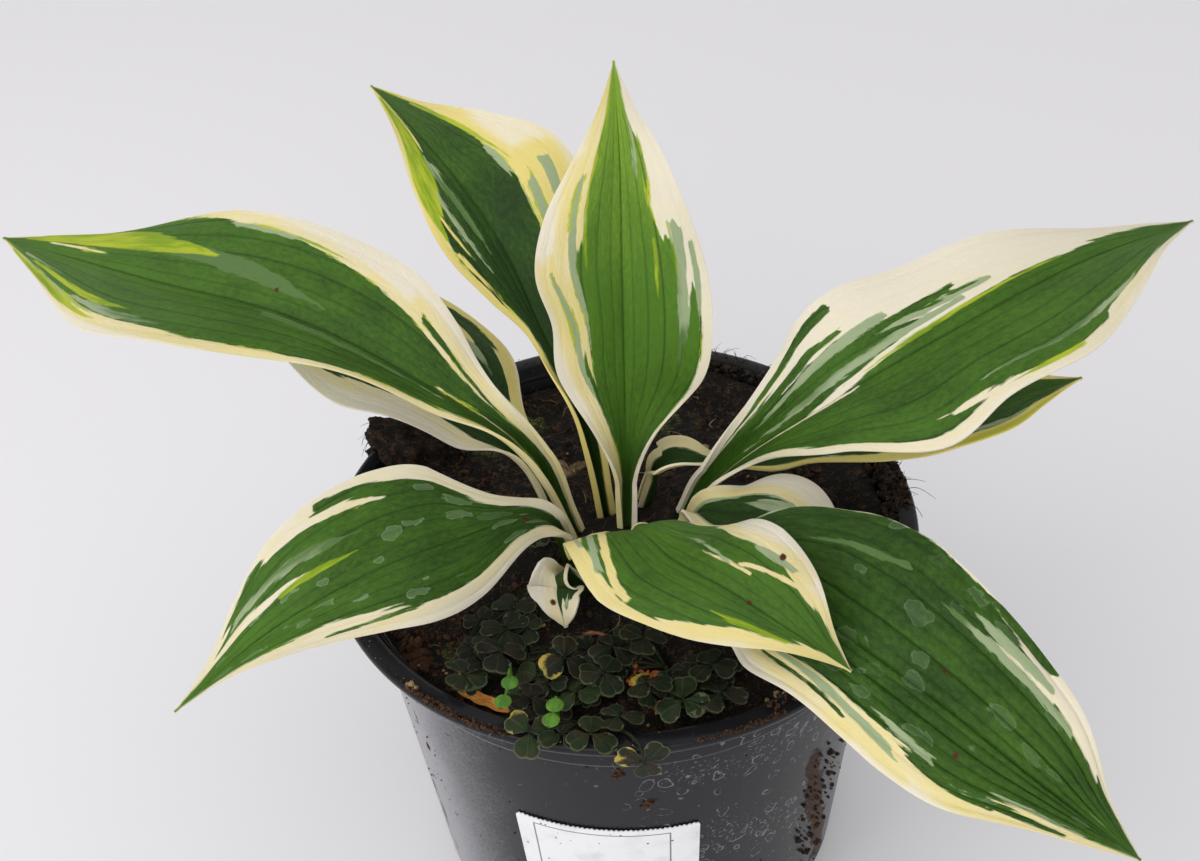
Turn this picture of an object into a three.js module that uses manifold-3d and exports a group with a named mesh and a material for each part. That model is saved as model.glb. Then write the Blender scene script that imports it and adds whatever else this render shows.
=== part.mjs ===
// A potted hosta: a round nursery pot of potting soil with twelve white-edged leaves, small
// creeping weeds and dried scraps on the soil, and a blank label on the pot wall.
// Millimetres, +Z up. The origin is the middle of the pot's foot, on the surface it stands on.
import * as THREE from 'three';
import { mergeVertices } from 'three/addons/utils/BufferGeometryUtils.js';
import Module from 'manifold-3d';

const wasm = await Module();
wasm.setup();

// Pot
const POT_HEIGHT = 150;
const RIM_RADIUS = 95;
const LIP_INNER_RADIUS = 88.5;
const LIP_DEPTH = 4;
const COLLAR_RADIUS = 86.4;
const COLLAR_BOTTOM = 130;
const WALL_TOP_RADIUS = 84.4;
const WALL_FOOT_RADIUS = 74;
const WALL = 1.8;
const SHOULDER_HEIGHT = 8;
const FOOT_INNER_RADIUS = 60;
const FLOOR_RAISE = 3;
const FLOOR_DISC_RADIUS = 38;
const POT_SEGMENTS = 48;
const DRAIN_COUNT = 8;
const DRAIN_RADIUS = 4.5;
const DRAIN_RING_RADIUS = 49;

// Soil
const CLEARANCE = 0.35;
const SOIL_EDGE = 141;
const SOIL_RISE = 4;
const SOIL_RINGS = 10;
const SOIL_SEGMENTS = 44;
const SOIL_LUMP_HEIGHT = 1;
const STEM_HOLE_RADIUS = 5.6;
const STEM_HOLE_OFFSET = 1.6;
const CLUMP_PLACE = [-75, 43, 149];
const CLUMP_SIZE = [15, 11, 9];
const CLUMP_TURN_DEG = -32;
const CLUMP_BUMPS = [0.14, 0.1];
const LUMPS = [1, 0.6, 0.4];

// Leaves
const BLADE_THICKNESS = 0.8;
const STALK_THICKNESS = 1.8;
const STALK_HALF_WIDTH = 3.6;
const TIP_HALF_WIDTH = 0.5;
const STALK_ROWS = 4;
const BLADE_ROWS = 14;
const SMALL_BLADE_ROWS = 9;
const HALF_STRIPS = 3;
const STALK_FOLD = [35, 95];
const OPENING = [1, 1.9];
const FLARE_FROM = 0.5;
const WIDTH_STATIONS = 8;
const WAVE_GROWTH = 2.5;
const LOBE_GROWTH = 1.4;
const LOBE_REACH = 0.7;
const WAVE_FADE = 0.2;
const STALK_THINS_FROM = 0.6;
const STEM_HOLE_STEPS = [-0.02, 0.15, 0.3, 0.45, 0.6, 0.75];
const LEAF_ROOT_DEPTH = 122;

// Each leaf is set by its midrib and its two halves, left and right as seen from the stalk.
// rib: the neck of the blade, its quarter points and its tip. halfWidth: every eighth of the
// blade. roll, fold and edge: degrees at the neck, middle and tip; fold is the half's slope at
// the midrib and edge its slope at the margin. wave: height, count and start of its waves.
// opening: where the stalk's channel opens flat, in steps of the rib, with the neck at 1.
// flareFrom: where the stalk starts to widen. small: fewer rows.
const LEAVES = [
  {
    name: 'upright_leaf', root: [1, -3],
    rib: [[2, 6, 160], [3, 13, 198], [4, 18, 233], [5, 28, 262], [5, 50, 284]],
    roll: [0, 0, 0],
    left: { halfWidth: [5, 11, 21, 22, 26, 23, 15, 6, 0], fold: [22, 22, 22], edge: [2, 2, 2],
      lobe: 0, wave: [1.6, 2.2, 0.1] },
    right: { halfWidth: [5, 12, 25, 28, 26, 21, 14, 6, 0], fold: [22, 22, 22], edge: [2, 2, 2],
      lobe: 0, wave: [1.6, 2.4, 0.5] },
  },
  {
    name: 'long_left_leaf', root: [-12, 2],
    rib: [[-28, 0, 176], [-58, 7, 202], [-99, 27, 216], [-151, 53, 217], [-215, 100, 208]],
    roll: [16, 18, 8],
    left: { halfWidth: [7, 8, 10, 16, 22, 30, 30, 15, 0], fold: [42, 32, 18], edge: [28, 12, -5],
      lobe: 0, wave: [2, 3.5, 0] },
    right: { halfWidth: [7, 10, 21, 30, 33, 32, 26, 11, 0], fold: [20, 20, 20], edge: [0, 0, 0],
      lobe: 0, wave: [1.5, 3, 0.3] },
  },
  {
    name: 'lower_left_leaf', root: [-19, 9],
    rib: [[-30, 15, 158], [-49, 29, 170], [-71, 50, 178], [-98, 74, 180], [-129, 105, 174]],
    roll: [0, 0, 0],
    left: { halfWidth: [6, 9, 14, 22, 29, 30, 24, 11, 0], fold: [15, 15, 15], edge: [-5, -5, -5],
      lobe: 0, wave: [1.5, 3, 0.2] },
    right: { halfWidth: [6, 13, 24, 31, 33, 31, 24, 10, 0], fold: [15, 15, 15], edge: [-5, -5, -5],
      lobe: 0, wave: [1.5, 2.5, 0.6] },
  },
  {
    name: 'back_left_leaf', root: [-5, 10],
    rib: [[-10, 12, 178], [-22, 26, 206], [-33, 44, 227], [-52, 76, 240], [-81, 131, 243]],
    roll: [17, 24, 27],
    left: { halfWidth: [5, 5, 5, 12, 17, 17, 13, 5, 0], fold: [32, 26, 20], edge: [20, 10, 0],
      lobe: 0, wave: [1.5, 2.5, 0] },
    right: { halfWidth: [5, 9, 18, 25, 32, 34, 22, 10, 0], fold: [20, 20, 20], edge: [0, 0, 0],
      lobe: 0, wave: [2, 2.5, 0.4] },
  },
  {
    name: 'long_right_leaf', root: [12, 7],
    rib: [[32, 4, 160], [63, -13, 202], [98, -6, 220], [140, 14, 228], [185, 43, 222]],
    roll: [-20, -19, -8],
    left: { halfWidth: [7, 13, 26, 29, 26, 22, 15, 6, 0], fold: [20, 20, 20], edge: [0, 0, 0],
      lobe: 0, wave: [1.6, 3.2, 0.2] },
    right: { halfWidth: [6, 7, 18, 33, 30, 31, 22, 9, 0], fold: [20, 20, 20], edge: [0, 0, 0],
      lobe: 0, wave: [2, 3, 0.6] },
  },
  {
    name: 'lower_right_leaf', root: [20, 15],
    rib: [[35, 14, 152], [59, 10, 166], [86, 4, 178], [114, 3, 186], [147, 12, 186]],
    roll: [-10, -10, -10],
    left: { halfWidth: [7, 14, 20, 23, 23, 20, 14, 6, 0], fold: [18, 18, 18], edge: [0, 0, 0],
      lobe: 0, wave: [1.2, 2.5, 0] },
    right: { halfWidth: [6, 8, 9, 12, 15, 18, 16, 7, 0], fold: [18, 18, 18], edge: [0, 0, 0],
      lobe: 0, wave: [1.2, 2.5, 0.5] },
  },
  {
    name: 'front_right_leaf', root: [13, -12],
    rib: [[35, -45, 166], [58, -81, 176], [79, -102, 172], [102, -120, 160], [128, -131, 140]],
    roll: [-30, -30, -25], opening: [0.8, 1.5],
    left: { halfWidth: [8, 31, 36, 34, 31, 27, 21, 9, 0], fold: [10, 10, 10], edge: [-20, -20, -20],
      lobe: 6, wave: [1.5, 2.5, 0.3] },
    right: { halfWidth: [8, 24, 22, 23, 24, 22, 14, 7, 0], fold: [10, 10, 10],
      edge: [-25, -25, -25], lobe: 6, wave: [1.5, 2.5, 0.7] },
  },
  {
    name: 'front_heart_leaf', root: [3, -15],
    rib: [[3, -32, 172], [14, -55, 182], [28, -72, 186], [42, -85, 184], [58, -92, 174]],
    roll: [8, -25, -25], opening: [0.8, 1.05], flareFrom: 0.78,
    left: { halfWidth: [7, 14, 25, 25, 24, 21, 16, 7, 0], fold: [15, 15, 15],
      edge: [-30, -30, -30], lobe: 4, wave: [1.2, 2.5, 0.2] },
    right: { halfWidth: [19, 22, 24, 21, 17, 12, 7, 3, 0], fold: [22, 15, 15],
      edge: [-10, -35, -35], lobe: 16, wave: [1.2, 2, 0.5] },
  },
  {
    name: 'front_left_leaf', root: [-16, -8],
    rib: [[-24, -20, 168], [-49, -42, 182], [-74, -57, 184], [-102, -68, 174], [-129, -78, 156]],
    roll: [30, 35, 30], opening: [0.8, 1.3],
    left: { halfWidth: [5, 10, 19, 21, 18, 13, 8, 3, 0], fold: [10, 5, 5], edge: [-45, -45, -35],
      lobe: 8, wave: [1, 2.5, 0.1] },
    right: { halfWidth: [5, 9, 24, 28, 27, 23, 14, 5, 0], fold: [12, 12, 12],
      edge: [-15, -15, -15], lobe: 4, wave: [1, 2.5, 0.6] },
  },
  {
    name: 'middle_right_leaf', root: [19, -5],
    rib: [[24, -8, 154], [35, -15, 162], [50, -22, 165], [62, -31, 160], [73, -41, 150]],
    roll: [-10, -10, -10], small: true,
    left: { halfWidth: [5, 8, 15, 18, 17, 14, 9, 4, 0], fold: [12, 12, 12],
      edge: [-20, -20, -20], lobe: 0, wave: [1, 2, 0.2] },
    right: { halfWidth: [6, 12, 16, 18, 17, 14, 9, 4, 0], fold: [12, 12, 12],
      edge: [-20, -20, -20], lobe: 0, wave: [1, 2, 0.7] },
  },
  {
    name: 'small_hanging_leaf', root: [-6, -18],
    rib: [[-20, -34, 157], [-21, -38, 156], [-21, -41, 154], [-20, -44, 151], [-19, -46, 147]],
    roll: [0, 0, 0], small: true,
    left: { halfWidth: [4, 7, 9, 9, 8, 8, 6, 3, 0], fold: [25, 25, 25], edge: [10, 10, 10],
      lobe: 0, wave: [0.5, 1.5, 0.2] },
    right: { halfWidth: [4, 8, 9, 8, 6, 5, 4, 2, 0], fold: [25, 25, 25], edge: [10, 10, 10],
      lobe: 0, wave: [0.5, 1.5, 0.7] },
  },
  {
    name: 'young_curled_leaf', root: [5, 15],
    rib: [[11, 12, 154], [15, 10, 160], [21, 10, 162], [28, 11, 161], [35, 14, 158]],
    roll: [0, 0, 0], small: true,
    left: { halfWidth: [3, 6, 9, 10, 9, 7, 5, 3, 0], fold: [30, 30, 30], edge: [50, 50, 50],
      lobe: 0, wave: [0.5, 2, 0] },
    right: { halfWidth: [3, 6, 9, 10, 9, 7, 5, 3, 0], fold: [30, 30, 30], edge: [50, 50, 50],
      lobe: 0, wave: [0.5, 2, 0.5] },
  },
];

// Weeds: creeping stems with three-part leaves. Each leaf is [x, y, height over the soil].
const RUNNER_RADIUS = 0.8;
const RUNNER_LIFT = 1.3;
const LEAF_STALK_RADIUS = 0.55;
const LEAFLET_LENGTH = 7.6;
const LEAFLET_THICKNESS = 0.7;
const WEED_HOLE_RADIUS = 1.8;
const WEED_HOLE_DEPTH = 30;
const WEED_ROOT_DEPTH = 8;
const WEED_SEED = 7;
const LEAFLET_SIZES = [0.85, 1.1];
const LEAFLET_TILT = [8, 22];
const LEAF_STALK_BOW = 0.45;
const OVER_RIM_CREST = { drawnIn: 0.96, height: 8 };
const WEEDS = [
  { name: 'weed_stem_left', root: [-49, -48], runner: [[-44, -54], [-40, -62]],
    leaves: [[-48, -67, 11], [-38, -58, 9], [-46, -60, 4], [-37, -47, 6], [-35, -38, 4]] },
  { name: 'weed_stem_middle', root: [-24, -53], runner: [[-20, -60], [-19, -70], [-24, -76]],
    leaves: [[-19, -62, 8], [-16, -72, 7], [-29, -75, 8], [-8, -69, 10], [-27, -64, 4]] },
  { name: 'weed_stem_front', root: [-14, -77], runner: [[-12, -80]],
    leaves: [[-29, -89, 12], [-20, -90, 11], [-12, -92, 13], [-4, -85, 11]],
    overRim: [2, -97, 147] },
  { name: 'weed_stem_right', root: [10, -61], runner: [[12, -66], [16, -73], [22, -76]],
    leaves: [[4, -56, 9], [4, -73, 9], [14, -79, 9], [25, -78, 10], [23, -67, 8], [-5, -57, 6]] },
  { name: 'weed_stem_crown', root: [-34, 4], runner: [[-32, 0]],
    leaves: [[-29, -2, 5]] },
];
const SEEDLINGS = [
  { name: 'seedling_left', root: [-35, -66], leaves: [[-34.5, -73.7], [-36.3, -80.4]], height: 13 },
  { name: 'seedling_right', root: [-21.5, -79], leaves: [[-21.6, -84.5], [-22.7, -89.6]], height: 16 },
];
const SEED_LEAF_RADIUS = 2.5;
const SEED_LEAF_THICKNESS = 0.8;
const SEED_STEM_RADIUS = 0.7;
const SEED_ARM_RADIUS = 0.5;
const SEED_STEM_BEND = 3;
const SEED_ROOT_DEPTH = 6;

// Scraps on the soil
const DRIED_STRIP = { name: 'dried_strip', from: [-51, -65], to: [-36, -74], width: 3.6 };
const DRIED_TWIG = { name: 'dried_twig', from: [-14, -47], to: [-3, -50], radius: 0.8 };
const DRIED_FLOWERS = [
  { name: 'dried_flower_right', place: [3, -66], petals: 4, length: 7, lift: 1.2 },
  { name: 'dried_flower_front', place: [7, -76], petals: 3, length: 6, lift: 1.2 },
];
const DRIED_SHEATH = { name: 'dried_sheath', place: [-17, 25], petals: 3, length: 9, lift: 1.8 };

const PETAL_THICKNESS = 0.8;
const PETAL_ROLLS = [-20, 25];
const PETAL_RISES = [-10, -22, -34];
const PETAL_FIRST_TURN = 0.4;
const STRIP_THICKNESS = 0.8;
const STRIP_LIFT = 0.6;
const STRIP_BOW = 0.5;
const STRIP_CUP = 0.5;
const STRIP_END_WIDTH = 0.7;
const TWIG_BOW = [0, 1, 1.5];

// Label
const LABEL_FROM_DEG = -118;
const LABEL_TO_DEG = -77;
const LABEL_TOP = 94;
const LABEL_HEIGHT = 50;
const LABEL_THICKNESS = 0.6;
const LABEL_STEPS = 14;

// Finishes
const finish = (color, roughness) => new THREE.MeshStandardMaterial({ color, roughness, metalness: 0 });
const POT_PLASTIC = finish(0x2b2c30, 0.4);
const SOIL_PEAT = finish(0x1d1713, 0.95);
const LEAF_GREEN = finish(0x3c6a2b, 0.5);
const WEED_GREEN = finish(0x3a4030, 0.6);
const SEED_GREEN = finish(0x58b02c, 0.5);
const DRIED_BROWN = finish(0xa87443, 0.8);
const LABEL_WHITE = finish(0xf2f2f0, 0.5);

const group = new THREE.Group();

function addMesh(name, geometry, material) {
  const mesh = new THREE.Mesh(geometry, material);
  mesh.name = name;
  group.add(mesh);
}

function smoothStep(x) {
  const t = Math.min(1, Math.max(0, x));
  return t * t * (3 - 2 * t);
}

function radians(degrees) {
  return degrees * Math.PI / 180;
}

// A smooth run of numbers: the value at a place along the list, counted in list steps.
function smoothValue(values, place) {
  const points = values.map((value) => new THREE.Vector3(value, 0, 0));
  const curve = new THREE.CatmullRomCurve3(points, false, 'catmullrom', 0.5);
  return curve.getPoint(place / (values.length - 1)).x;
}

function straightValue([start, middle, end], s) {
  return s < 0.5 ? start + (middle - start) * s * 2 : middle + (end - middle) * (s * 2 - 1);
}

function geometryFrom(positions, triangles) {
  const geometry = new THREE.BufferGeometry();
  geometry.setAttribute('position', new THREE.Float32BufferAttribute(positions, 3));
  geometry.setIndex(triangles);
  return geometry;
}

function toSolid(geometry) {
  const bare = geometry.clone();
  bare.deleteAttribute('normal');
  bare.deleteAttribute('uv');
  const merged = mergeVertices(bare, 1e-4);
  return new wasm.Manifold(new wasm.Mesh({
    numProp: 3,
    vertProperties: new Float32Array(merged.attributes.position.array),
    triVerts: new Uint32Array(merged.index.array),
  }));
}

function toGeometry(solid) {
  const mesh = solid.getMesh();
  return geometryFrom(Array.from(mesh.vertProperties), Array.from(mesh.triVerts));
}

function fuse(geometries) {
  return geometries.map(toSolid).reduce((whole, piece) => whole.add(piece));
}

// Repeatable draws between 0 and 1
function makeDraw(seed) {
  let state = seed;
  return () => {
    state = (state * 16807) % 2147483647;
    return state / 2147483647;
  };
}

function wallRadius(z) {
  return WALL_FOOT_RADIUS + (WALL_TOP_RADIUS - WALL_FOOT_RADIUS) * z / COLLAR_BOTTOM;
}

function buildPot() {
  const outline = [
    [0, 0], [FLOOR_DISC_RADIUS, 0], [FLOOR_DISC_RADIUS + 2, FLOOR_RAISE],
    [FOOT_INNER_RADIUS - 2, FLOOR_RAISE], [FOOT_INNER_RADIUS, 0],
    [WALL_FOOT_RADIUS - 6, 0], [WALL_FOOT_RADIUS - 2, 2], [wallRadius(SHOULDER_HEIGHT), SHOULDER_HEIGHT],
    [WALL_TOP_RADIUS, COLLAR_BOTTOM], [COLLAR_RADIUS - 0.4, COLLAR_BOTTOM + 0.8],
    [COLLAR_RADIUS, POT_HEIGHT - LIP_DEPTH - 1], [RIM_RADIUS - 1.6, POT_HEIGHT - LIP_DEPTH],
    [RIM_RADIUS - 0.3, POT_HEIGHT - LIP_DEPTH + 1.4], [RIM_RADIUS, POT_HEIGHT - 2.4],
    [RIM_RADIUS - 0.8, POT_HEIGHT - 0.7], [RIM_RADIUS - 2.4, POT_HEIGHT],
    [LIP_INNER_RADIUS + 1, POT_HEIGHT], [LIP_INNER_RADIUS, POT_HEIGHT - 0.8],
    [COLLAR_RADIUS - WALL, POT_HEIGHT - LIP_DEPTH - 3],
    [COLLAR_RADIUS - WALL, COLLAR_BOTTOM], [WALL_TOP_RADIUS - WALL, COLLAR_BOTTOM - 4],
    [wallRadius(SHOULDER_HEIGHT) - WALL, SHOULDER_HEIGHT],
    [WALL_FOOT_RADIUS - 7, FLOOR_RAISE + WALL],
    [FOOT_INNER_RADIUS - 2, FLOOR_RAISE + WALL], [FLOOR_DISC_RADIUS + 2, FLOOR_RAISE + WALL],
    [0, FLOOR_RAISE + WALL],
  ];
  let pot = toSolid(latheUp(outline));
  for (let hole = 0; hole < DRAIN_COUNT; hole += 1) {
    const angle = 2 * Math.PI * hole / DRAIN_COUNT;
    const drain = cylinderUp(DRAIN_RADIUS, 20, 12);
    drain.translate(DRAIN_RING_RADIUS * Math.cos(angle), DRAIN_RING_RADIUS * Math.sin(angle), 0);
    pot = pot.subtract(toSolid(drain));
  }
  addMesh('pot', toGeometry(pot), POT_PLASTIC);
}

// A turned solid about Z from [radius, z] points that run up the outside and down the inside
function latheUp(outline) {
  const points = outline.map(([radius, z]) => new THREE.Vector2(radius, z));
  return new THREE.LatheGeometry(points, POT_SEGMENTS).rotateX(Math.PI / 2);
}

function cylinderUp(radius, height, sides) {
  return new THREE.CylinderGeometry(radius, radius, height, sides).rotateX(Math.PI / 2);
}

// The soil surface: low lumps, a little higher in the middle round the crown
function soilHeight(x, y) {
  const reach = Math.hypot(x, y) / LIP_INNER_RADIUS;
  const lumps = LUMPS[0] * Math.sin(x * 0.21 + 1.3) * Math.cos(y * 0.17 + 0.4)
    + LUMPS[1] * Math.sin(x * 0.11 - y * 0.23 + 2.1) + LUMPS[2] * Math.cos(x * 0.37 + y * 0.31);
  return SOIL_EDGE + SOIL_RISE * (1 - reach * reach) + SOIL_LUMP_HEIGHT * lumps * (1 - 0.5 * reach);
}

// One soil solid that fills the pot; its wall follows the pot's inside
function soilBlock() {
  const wallProfile = [
    [COLLAR_RADIUS - WALL - CLEARANCE, SOIL_EDGE],
    [COLLAR_RADIUS - WALL - CLEARANCE, COLLAR_BOTTOM + 3],
    [WALL_TOP_RADIUS - WALL - CLEARANCE, COLLAR_BOTTOM - 3],
    [wallRadius(SHOULDER_HEIGHT) - WALL - CLEARANCE, SHOULDER_HEIGHT + 1],
    [WALL_FOOT_RADIUS - 8, FLOOR_RAISE + WALL + CLEARANCE],
  ];
  const positions = [0, 0, soilHeight(0, 0)];
  const triangles = [];
  const ringStart = (ring) => 1 + ring * SOIL_SEGMENTS;
  const pushRing = (radius, heightAt) => {
    for (let step = 0; step < SOIL_SEGMENTS; step += 1) {
      const angle = 2 * Math.PI * step / SOIL_SEGMENTS;
      const x = radius * Math.cos(angle);
      const y = radius * Math.sin(angle);
      positions.push(x, y, heightAt(x, y));
    }
  };
  const topRadius = wallProfile[0][0];
  for (let ring = 1; ring <= SOIL_RINGS; ring += 1) {
    pushRing(topRadius * ring / SOIL_RINGS, soilHeight);
  }
  wallProfile.slice(1).forEach(([radius, z]) => pushRing(radius, () => z));
  const rings = SOIL_RINGS + wallProfile.length - 1;
  const floorCentre = positions.length / 3;
  positions.push(0, 0, wallProfile.at(-1)[1]);
  for (let step = 0; step < SOIL_SEGMENTS; step += 1) {
    const next = (step + 1) % SOIL_SEGMENTS;
    triangles.push(0, ringStart(0) + step, ringStart(0) + next);
    for (let ring = 0; ring + 1 < rings; ring += 1) {
      const a = ringStart(ring) + step;
      const b = ringStart(ring) + next;
      const c = ringStart(ring + 1) + step;
      const d = ringStart(ring + 1) + next;
      triangles.push(a, c, d, a, d, b);
    }
    triangles.push(floorCentre, ringStart(rings - 1) + next, ringStart(rings - 1) + step);
  }
  return toSolid(geometryFrom(positions, triangles));
}

// A torn lump of peat that hangs over the rim on the left
function peatClump() {
  const lump = new THREE.IcosahedronGeometry(1, 3);
  const place = lump.attributes.position;
  for (let index = 0; index < place.count; index += 1) {
    const point = new THREE.Vector3().fromBufferAttribute(place, index);
    const [broad, fine] = CLUMP_BUMPS;
    const bumps = 1 + broad * Math.sin(point.x * 7 + 1) * Math.cos(point.y * 6)
      + fine * Math.sin(point.z * 9 + point.x * 5);
    place.setXYZ(index, ...point.multiplyScalar(bumps).toArray());
  }
  lump.scale(...CLUMP_SIZE).rotateZ(radians(CLUMP_TURN_DEG)).translate(...CLUMP_PLACE);
  return toSolid(lump);
}

// What the pot's lip takes out of the clump that lies over it
function lipClearance() {
  return toSolid(latheUp([
    [COLLAR_RADIUS - WALL - CLEARANCE, COLLAR_BOTTOM],
    [RIM_RADIUS + 20, COLLAR_BOTTOM], [RIM_RADIUS + 20, POT_HEIGHT - LIP_DEPTH],
    [RIM_RADIUS + CLEARANCE, POT_HEIGHT - LIP_DEPTH], [RIM_RADIUS + CLEARANCE, POT_HEIGHT - 1.4],
    [RIM_RADIUS - 1, POT_HEIGHT + CLEARANCE], [LIP_INNER_RADIUS - 1, POT_HEIGHT + CLEARANCE],
    [COLLAR_RADIUS - WALL - CLEARANCE, POT_HEIGHT - LIP_DEPTH - 1],
    [COLLAR_RADIUS - WALL - CLEARANCE, COLLAR_BOTTOM],
  ]));
}

// A round rod between two points
function rod(from, to, radius, sides) {
  const start = new THREE.Vector3(...from);
  const along = new THREE.Vector3(...to).sub(start);
  const piece = cylinderUp(radius, along.length(), sides);
  const turn = new THREE.Quaternion().setFromUnitVectors(
    new THREE.Vector3(0, 0, 1), along.clone().normalize());
  piece.applyQuaternion(turn);
  const middle = start.addScaledVector(along, 0.5);
  return piece.translate(middle.x, middle.y, middle.z);
}

// A plain hole that follows the buried stalk up through the surface
function stemHole(leaf) {
  const curve = ribCurve(leaf);
  const centres = STEM_HOLE_STEPS.map((u) => {
    const { place, up, along } = ribFrame(leaf, curve, Math.max(u, 0), 0);
    return place.addScaledVector(up, STEM_HOLE_OFFSET).addScaledVector(along, Math.min(u, 0) * 50);
  });
  const path = new THREE.CatmullRomCurve3(centres);
  return tubeAlong(path, STEM_HOLE_RADIUS, 8, 5);
}

function buildSoil() {
  let soil = soilBlock().add(peatClump().subtract(lipClearance()));
  LEAVES.forEach((leaf) => {
    soil = soil.subtract(toSolid(stemHole(leaf)));
  });
  [...WEEDS, ...SEEDLINGS].forEach(({ root }) => {
    const hole = cylinderUp(WEED_HOLE_RADIUS, WEED_HOLE_DEPTH, 6);
    soil = soil.subtract(toSolid(hole.translate(root[0], root[1], SOIL_EDGE + 4)));
  });
  const whole = soil.decompose().sort((a, b) => b.volume() - a.volume())[0];
  addMesh('soil', toGeometry(whole), SOIL_PEAT);
}

function ribCurve(leaf) {
  const points = [[...leaf.root, LEAF_ROOT_DEPTH], ...leaf.rib];
  return new THREE.CatmullRomCurve3(
    points.map((point) => new THREE.Vector3(...point)), false, 'catmullrom', 0.5);
}

// Place and directions at a point of the midrib: along it, to its right and up from the blade
function ribFrame(leaf, curve, u, s) {
  const steps = leaf.rib.length;
  const place = curve.getPoint(u / steps);
  const along = curve.getTangent(u / steps);
  const tip = leaf.rib.at(-1);
  const heading = Math.atan2(tip[1] - leaf.root[1], tip[0] - leaf.root[0]);
  const right = new THREE.Vector3(Math.sin(heading), -Math.cos(heading), 0);
  right.addScaledVector(along, -right.dot(along)).normalize();
  const roll = radians(straightValue(leaf.roll, s)) * smoothStep(u);
  right.applyAxisAngle(along, -roll);
  const up = new THREE.Vector3().crossVectors(right, along);
  return { place, along, right, up };
}

// One half of the cross-section: its true width, its slopes and how far it is drawn back
function halfSection(half, leaf, u, s) {
  const [shut, open] = leaf.opening ?? OPENING;
  const flareFrom = leaf.flareFrom ?? FLARE_FROM;
  const blend = smoothStep((u - shut) / (open - shut));
  const slope = (stalk, angles) => radians(stalk + (straightValue(angles, s) - stalk) * blend);
  const blade = smoothValue(half.halfWidth, s * WIDTH_STATIONS);
  const flare = smoothStep((u - flareFrom) / (1 - flareFrom));
  const width = u < 1
    ? STALK_HALF_WIDTH + (half.halfWidth[0] - STALK_HALF_WIDTH) * flare
    : Math.max(blade, TIP_HALF_WIDTH);
  const [height, count, start] = half.wave;
  const fade = smoothStep(s / WAVE_FADE) * smoothStep((1 - s) / WAVE_FADE);
  return {
    width,
    fold: slope(STALK_FOLD[0], half.fold),
    edge: slope(STALK_FOLD[1], half.edge),
    wave: height * Math.sin(2 * Math.PI * (count * s + start)) * fade,
    back: half.lobe * Math.max(0, 1 - s / LOBE_REACH) ** 2 * flare,
  };
}

// A point of the blade's upper face, with the direction that the face looks in
function bladePoint(frame, section, side, t) {
  const turn = section.edge - section.fold || 1e-4;
  const slope = section.fold + turn * t;
  const across = (Math.sin(slope) - Math.sin(section.fold)) / turn * section.width;
  const lift = (Math.cos(section.fold) - Math.cos(slope)) / turn * section.width;
  const point = frame.place.clone()
    .addScaledVector(frame.right, side * across)
    .addScaledVector(frame.up, lift + section.wave * t ** WAVE_GROWTH)
    .addScaledVector(frame.along, -section.back * t ** LOBE_GROWTH);
  const outward = frame.up.clone().multiplyScalar(Math.cos(slope))
    .addScaledVector(frame.right, -side * Math.sin(slope));
  return { point, outward };
}

function buildLeaf(leaf) {
  const curve = ribCurve(leaf);
  const steps = leaf.rib.length;
  const columns = 2 * HALF_STRIPS + 1;
  const rows = [];
  for (let row = 0; row < STALK_ROWS; row += 1) {
    rows.push(row / STALK_ROWS);
  }
  const bladeRows = leaf.small ? SMALL_BLADE_ROWS : BLADE_ROWS;
  for (let row = 0; row <= bladeRows; row += 1) {
    rows.push(1 + (steps - 1) * row / bladeRows);
  }
  const positions = [];
  rows.forEach((u) => {
    const s = Math.max(0, (u - 1) / (steps - 1));
    const frame = ribFrame(leaf, curve, u, s);
    const left = halfSection(leaf.left, leaf, u, s);
    const right = halfSection(leaf.right, leaf, u, s);
    const thickness = BLADE_THICKNESS
      + (STALK_THICKNESS - BLADE_THICKNESS) * (1 - smoothStep(u - STALK_THINS_FROM));
    for (let column = 0; column < columns; column += 1) {
      const across = (column - HALF_STRIPS) / HALF_STRIPS;
      const section = across < 0 ? left : right;
      const { point, outward } = bladePoint(frame, section, Math.sign(across), Math.abs(across));
      positions.push(...point.toArray());
      positions.push(...point.addScaledVector(outward, -thickness).toArray());
    }
  });
  addMesh(leaf.name, geometryFrom(positions, sheetTriangles(rows.length, columns)), LEAF_GREEN);
}

// Triangles of a thin closed sheet whose points come in upper and lower pairs, row by row
function sheetTriangles(rows, columns) {
  const triangles = [];
  const upper = (row, column) => 2 * (row * columns + column);
  const lower = (row, column) => upper(row, column) + 1;
  const quad = (a, b, c, d) => triangles.push(a, b, c, a, c, d);
  for (let row = 0; row + 1 < rows; row += 1) {
    for (let column = 0; column + 1 < columns; column += 1) {
      quad(upper(row, column), upper(row, column + 1),
        upper(row + 1, column + 1), upper(row + 1, column));
      triangles.push(lower(row, column), lower(row + 1, column + 1), lower(row, column + 1));
      triangles.push(lower(row, column), lower(row + 1, column), lower(row + 1, column + 1));
    }
    const last = columns - 1;
    quad(upper(row, 0), upper(row + 1, 0), lower(row + 1, 0), lower(row, 0));
    quad(upper(row, last), lower(row, last), lower(row + 1, last), upper(row + 1, last));
  }
  for (let column = 0; column + 1 < columns; column += 1) {
    const end = rows - 1;
    quad(upper(0, column), lower(0, column), lower(0, column + 1), upper(0, column + 1));
    quad(upper(end, column), upper(end, column + 1), lower(end, column + 1), lower(end, column));
  }
  return triangles;
}

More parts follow.
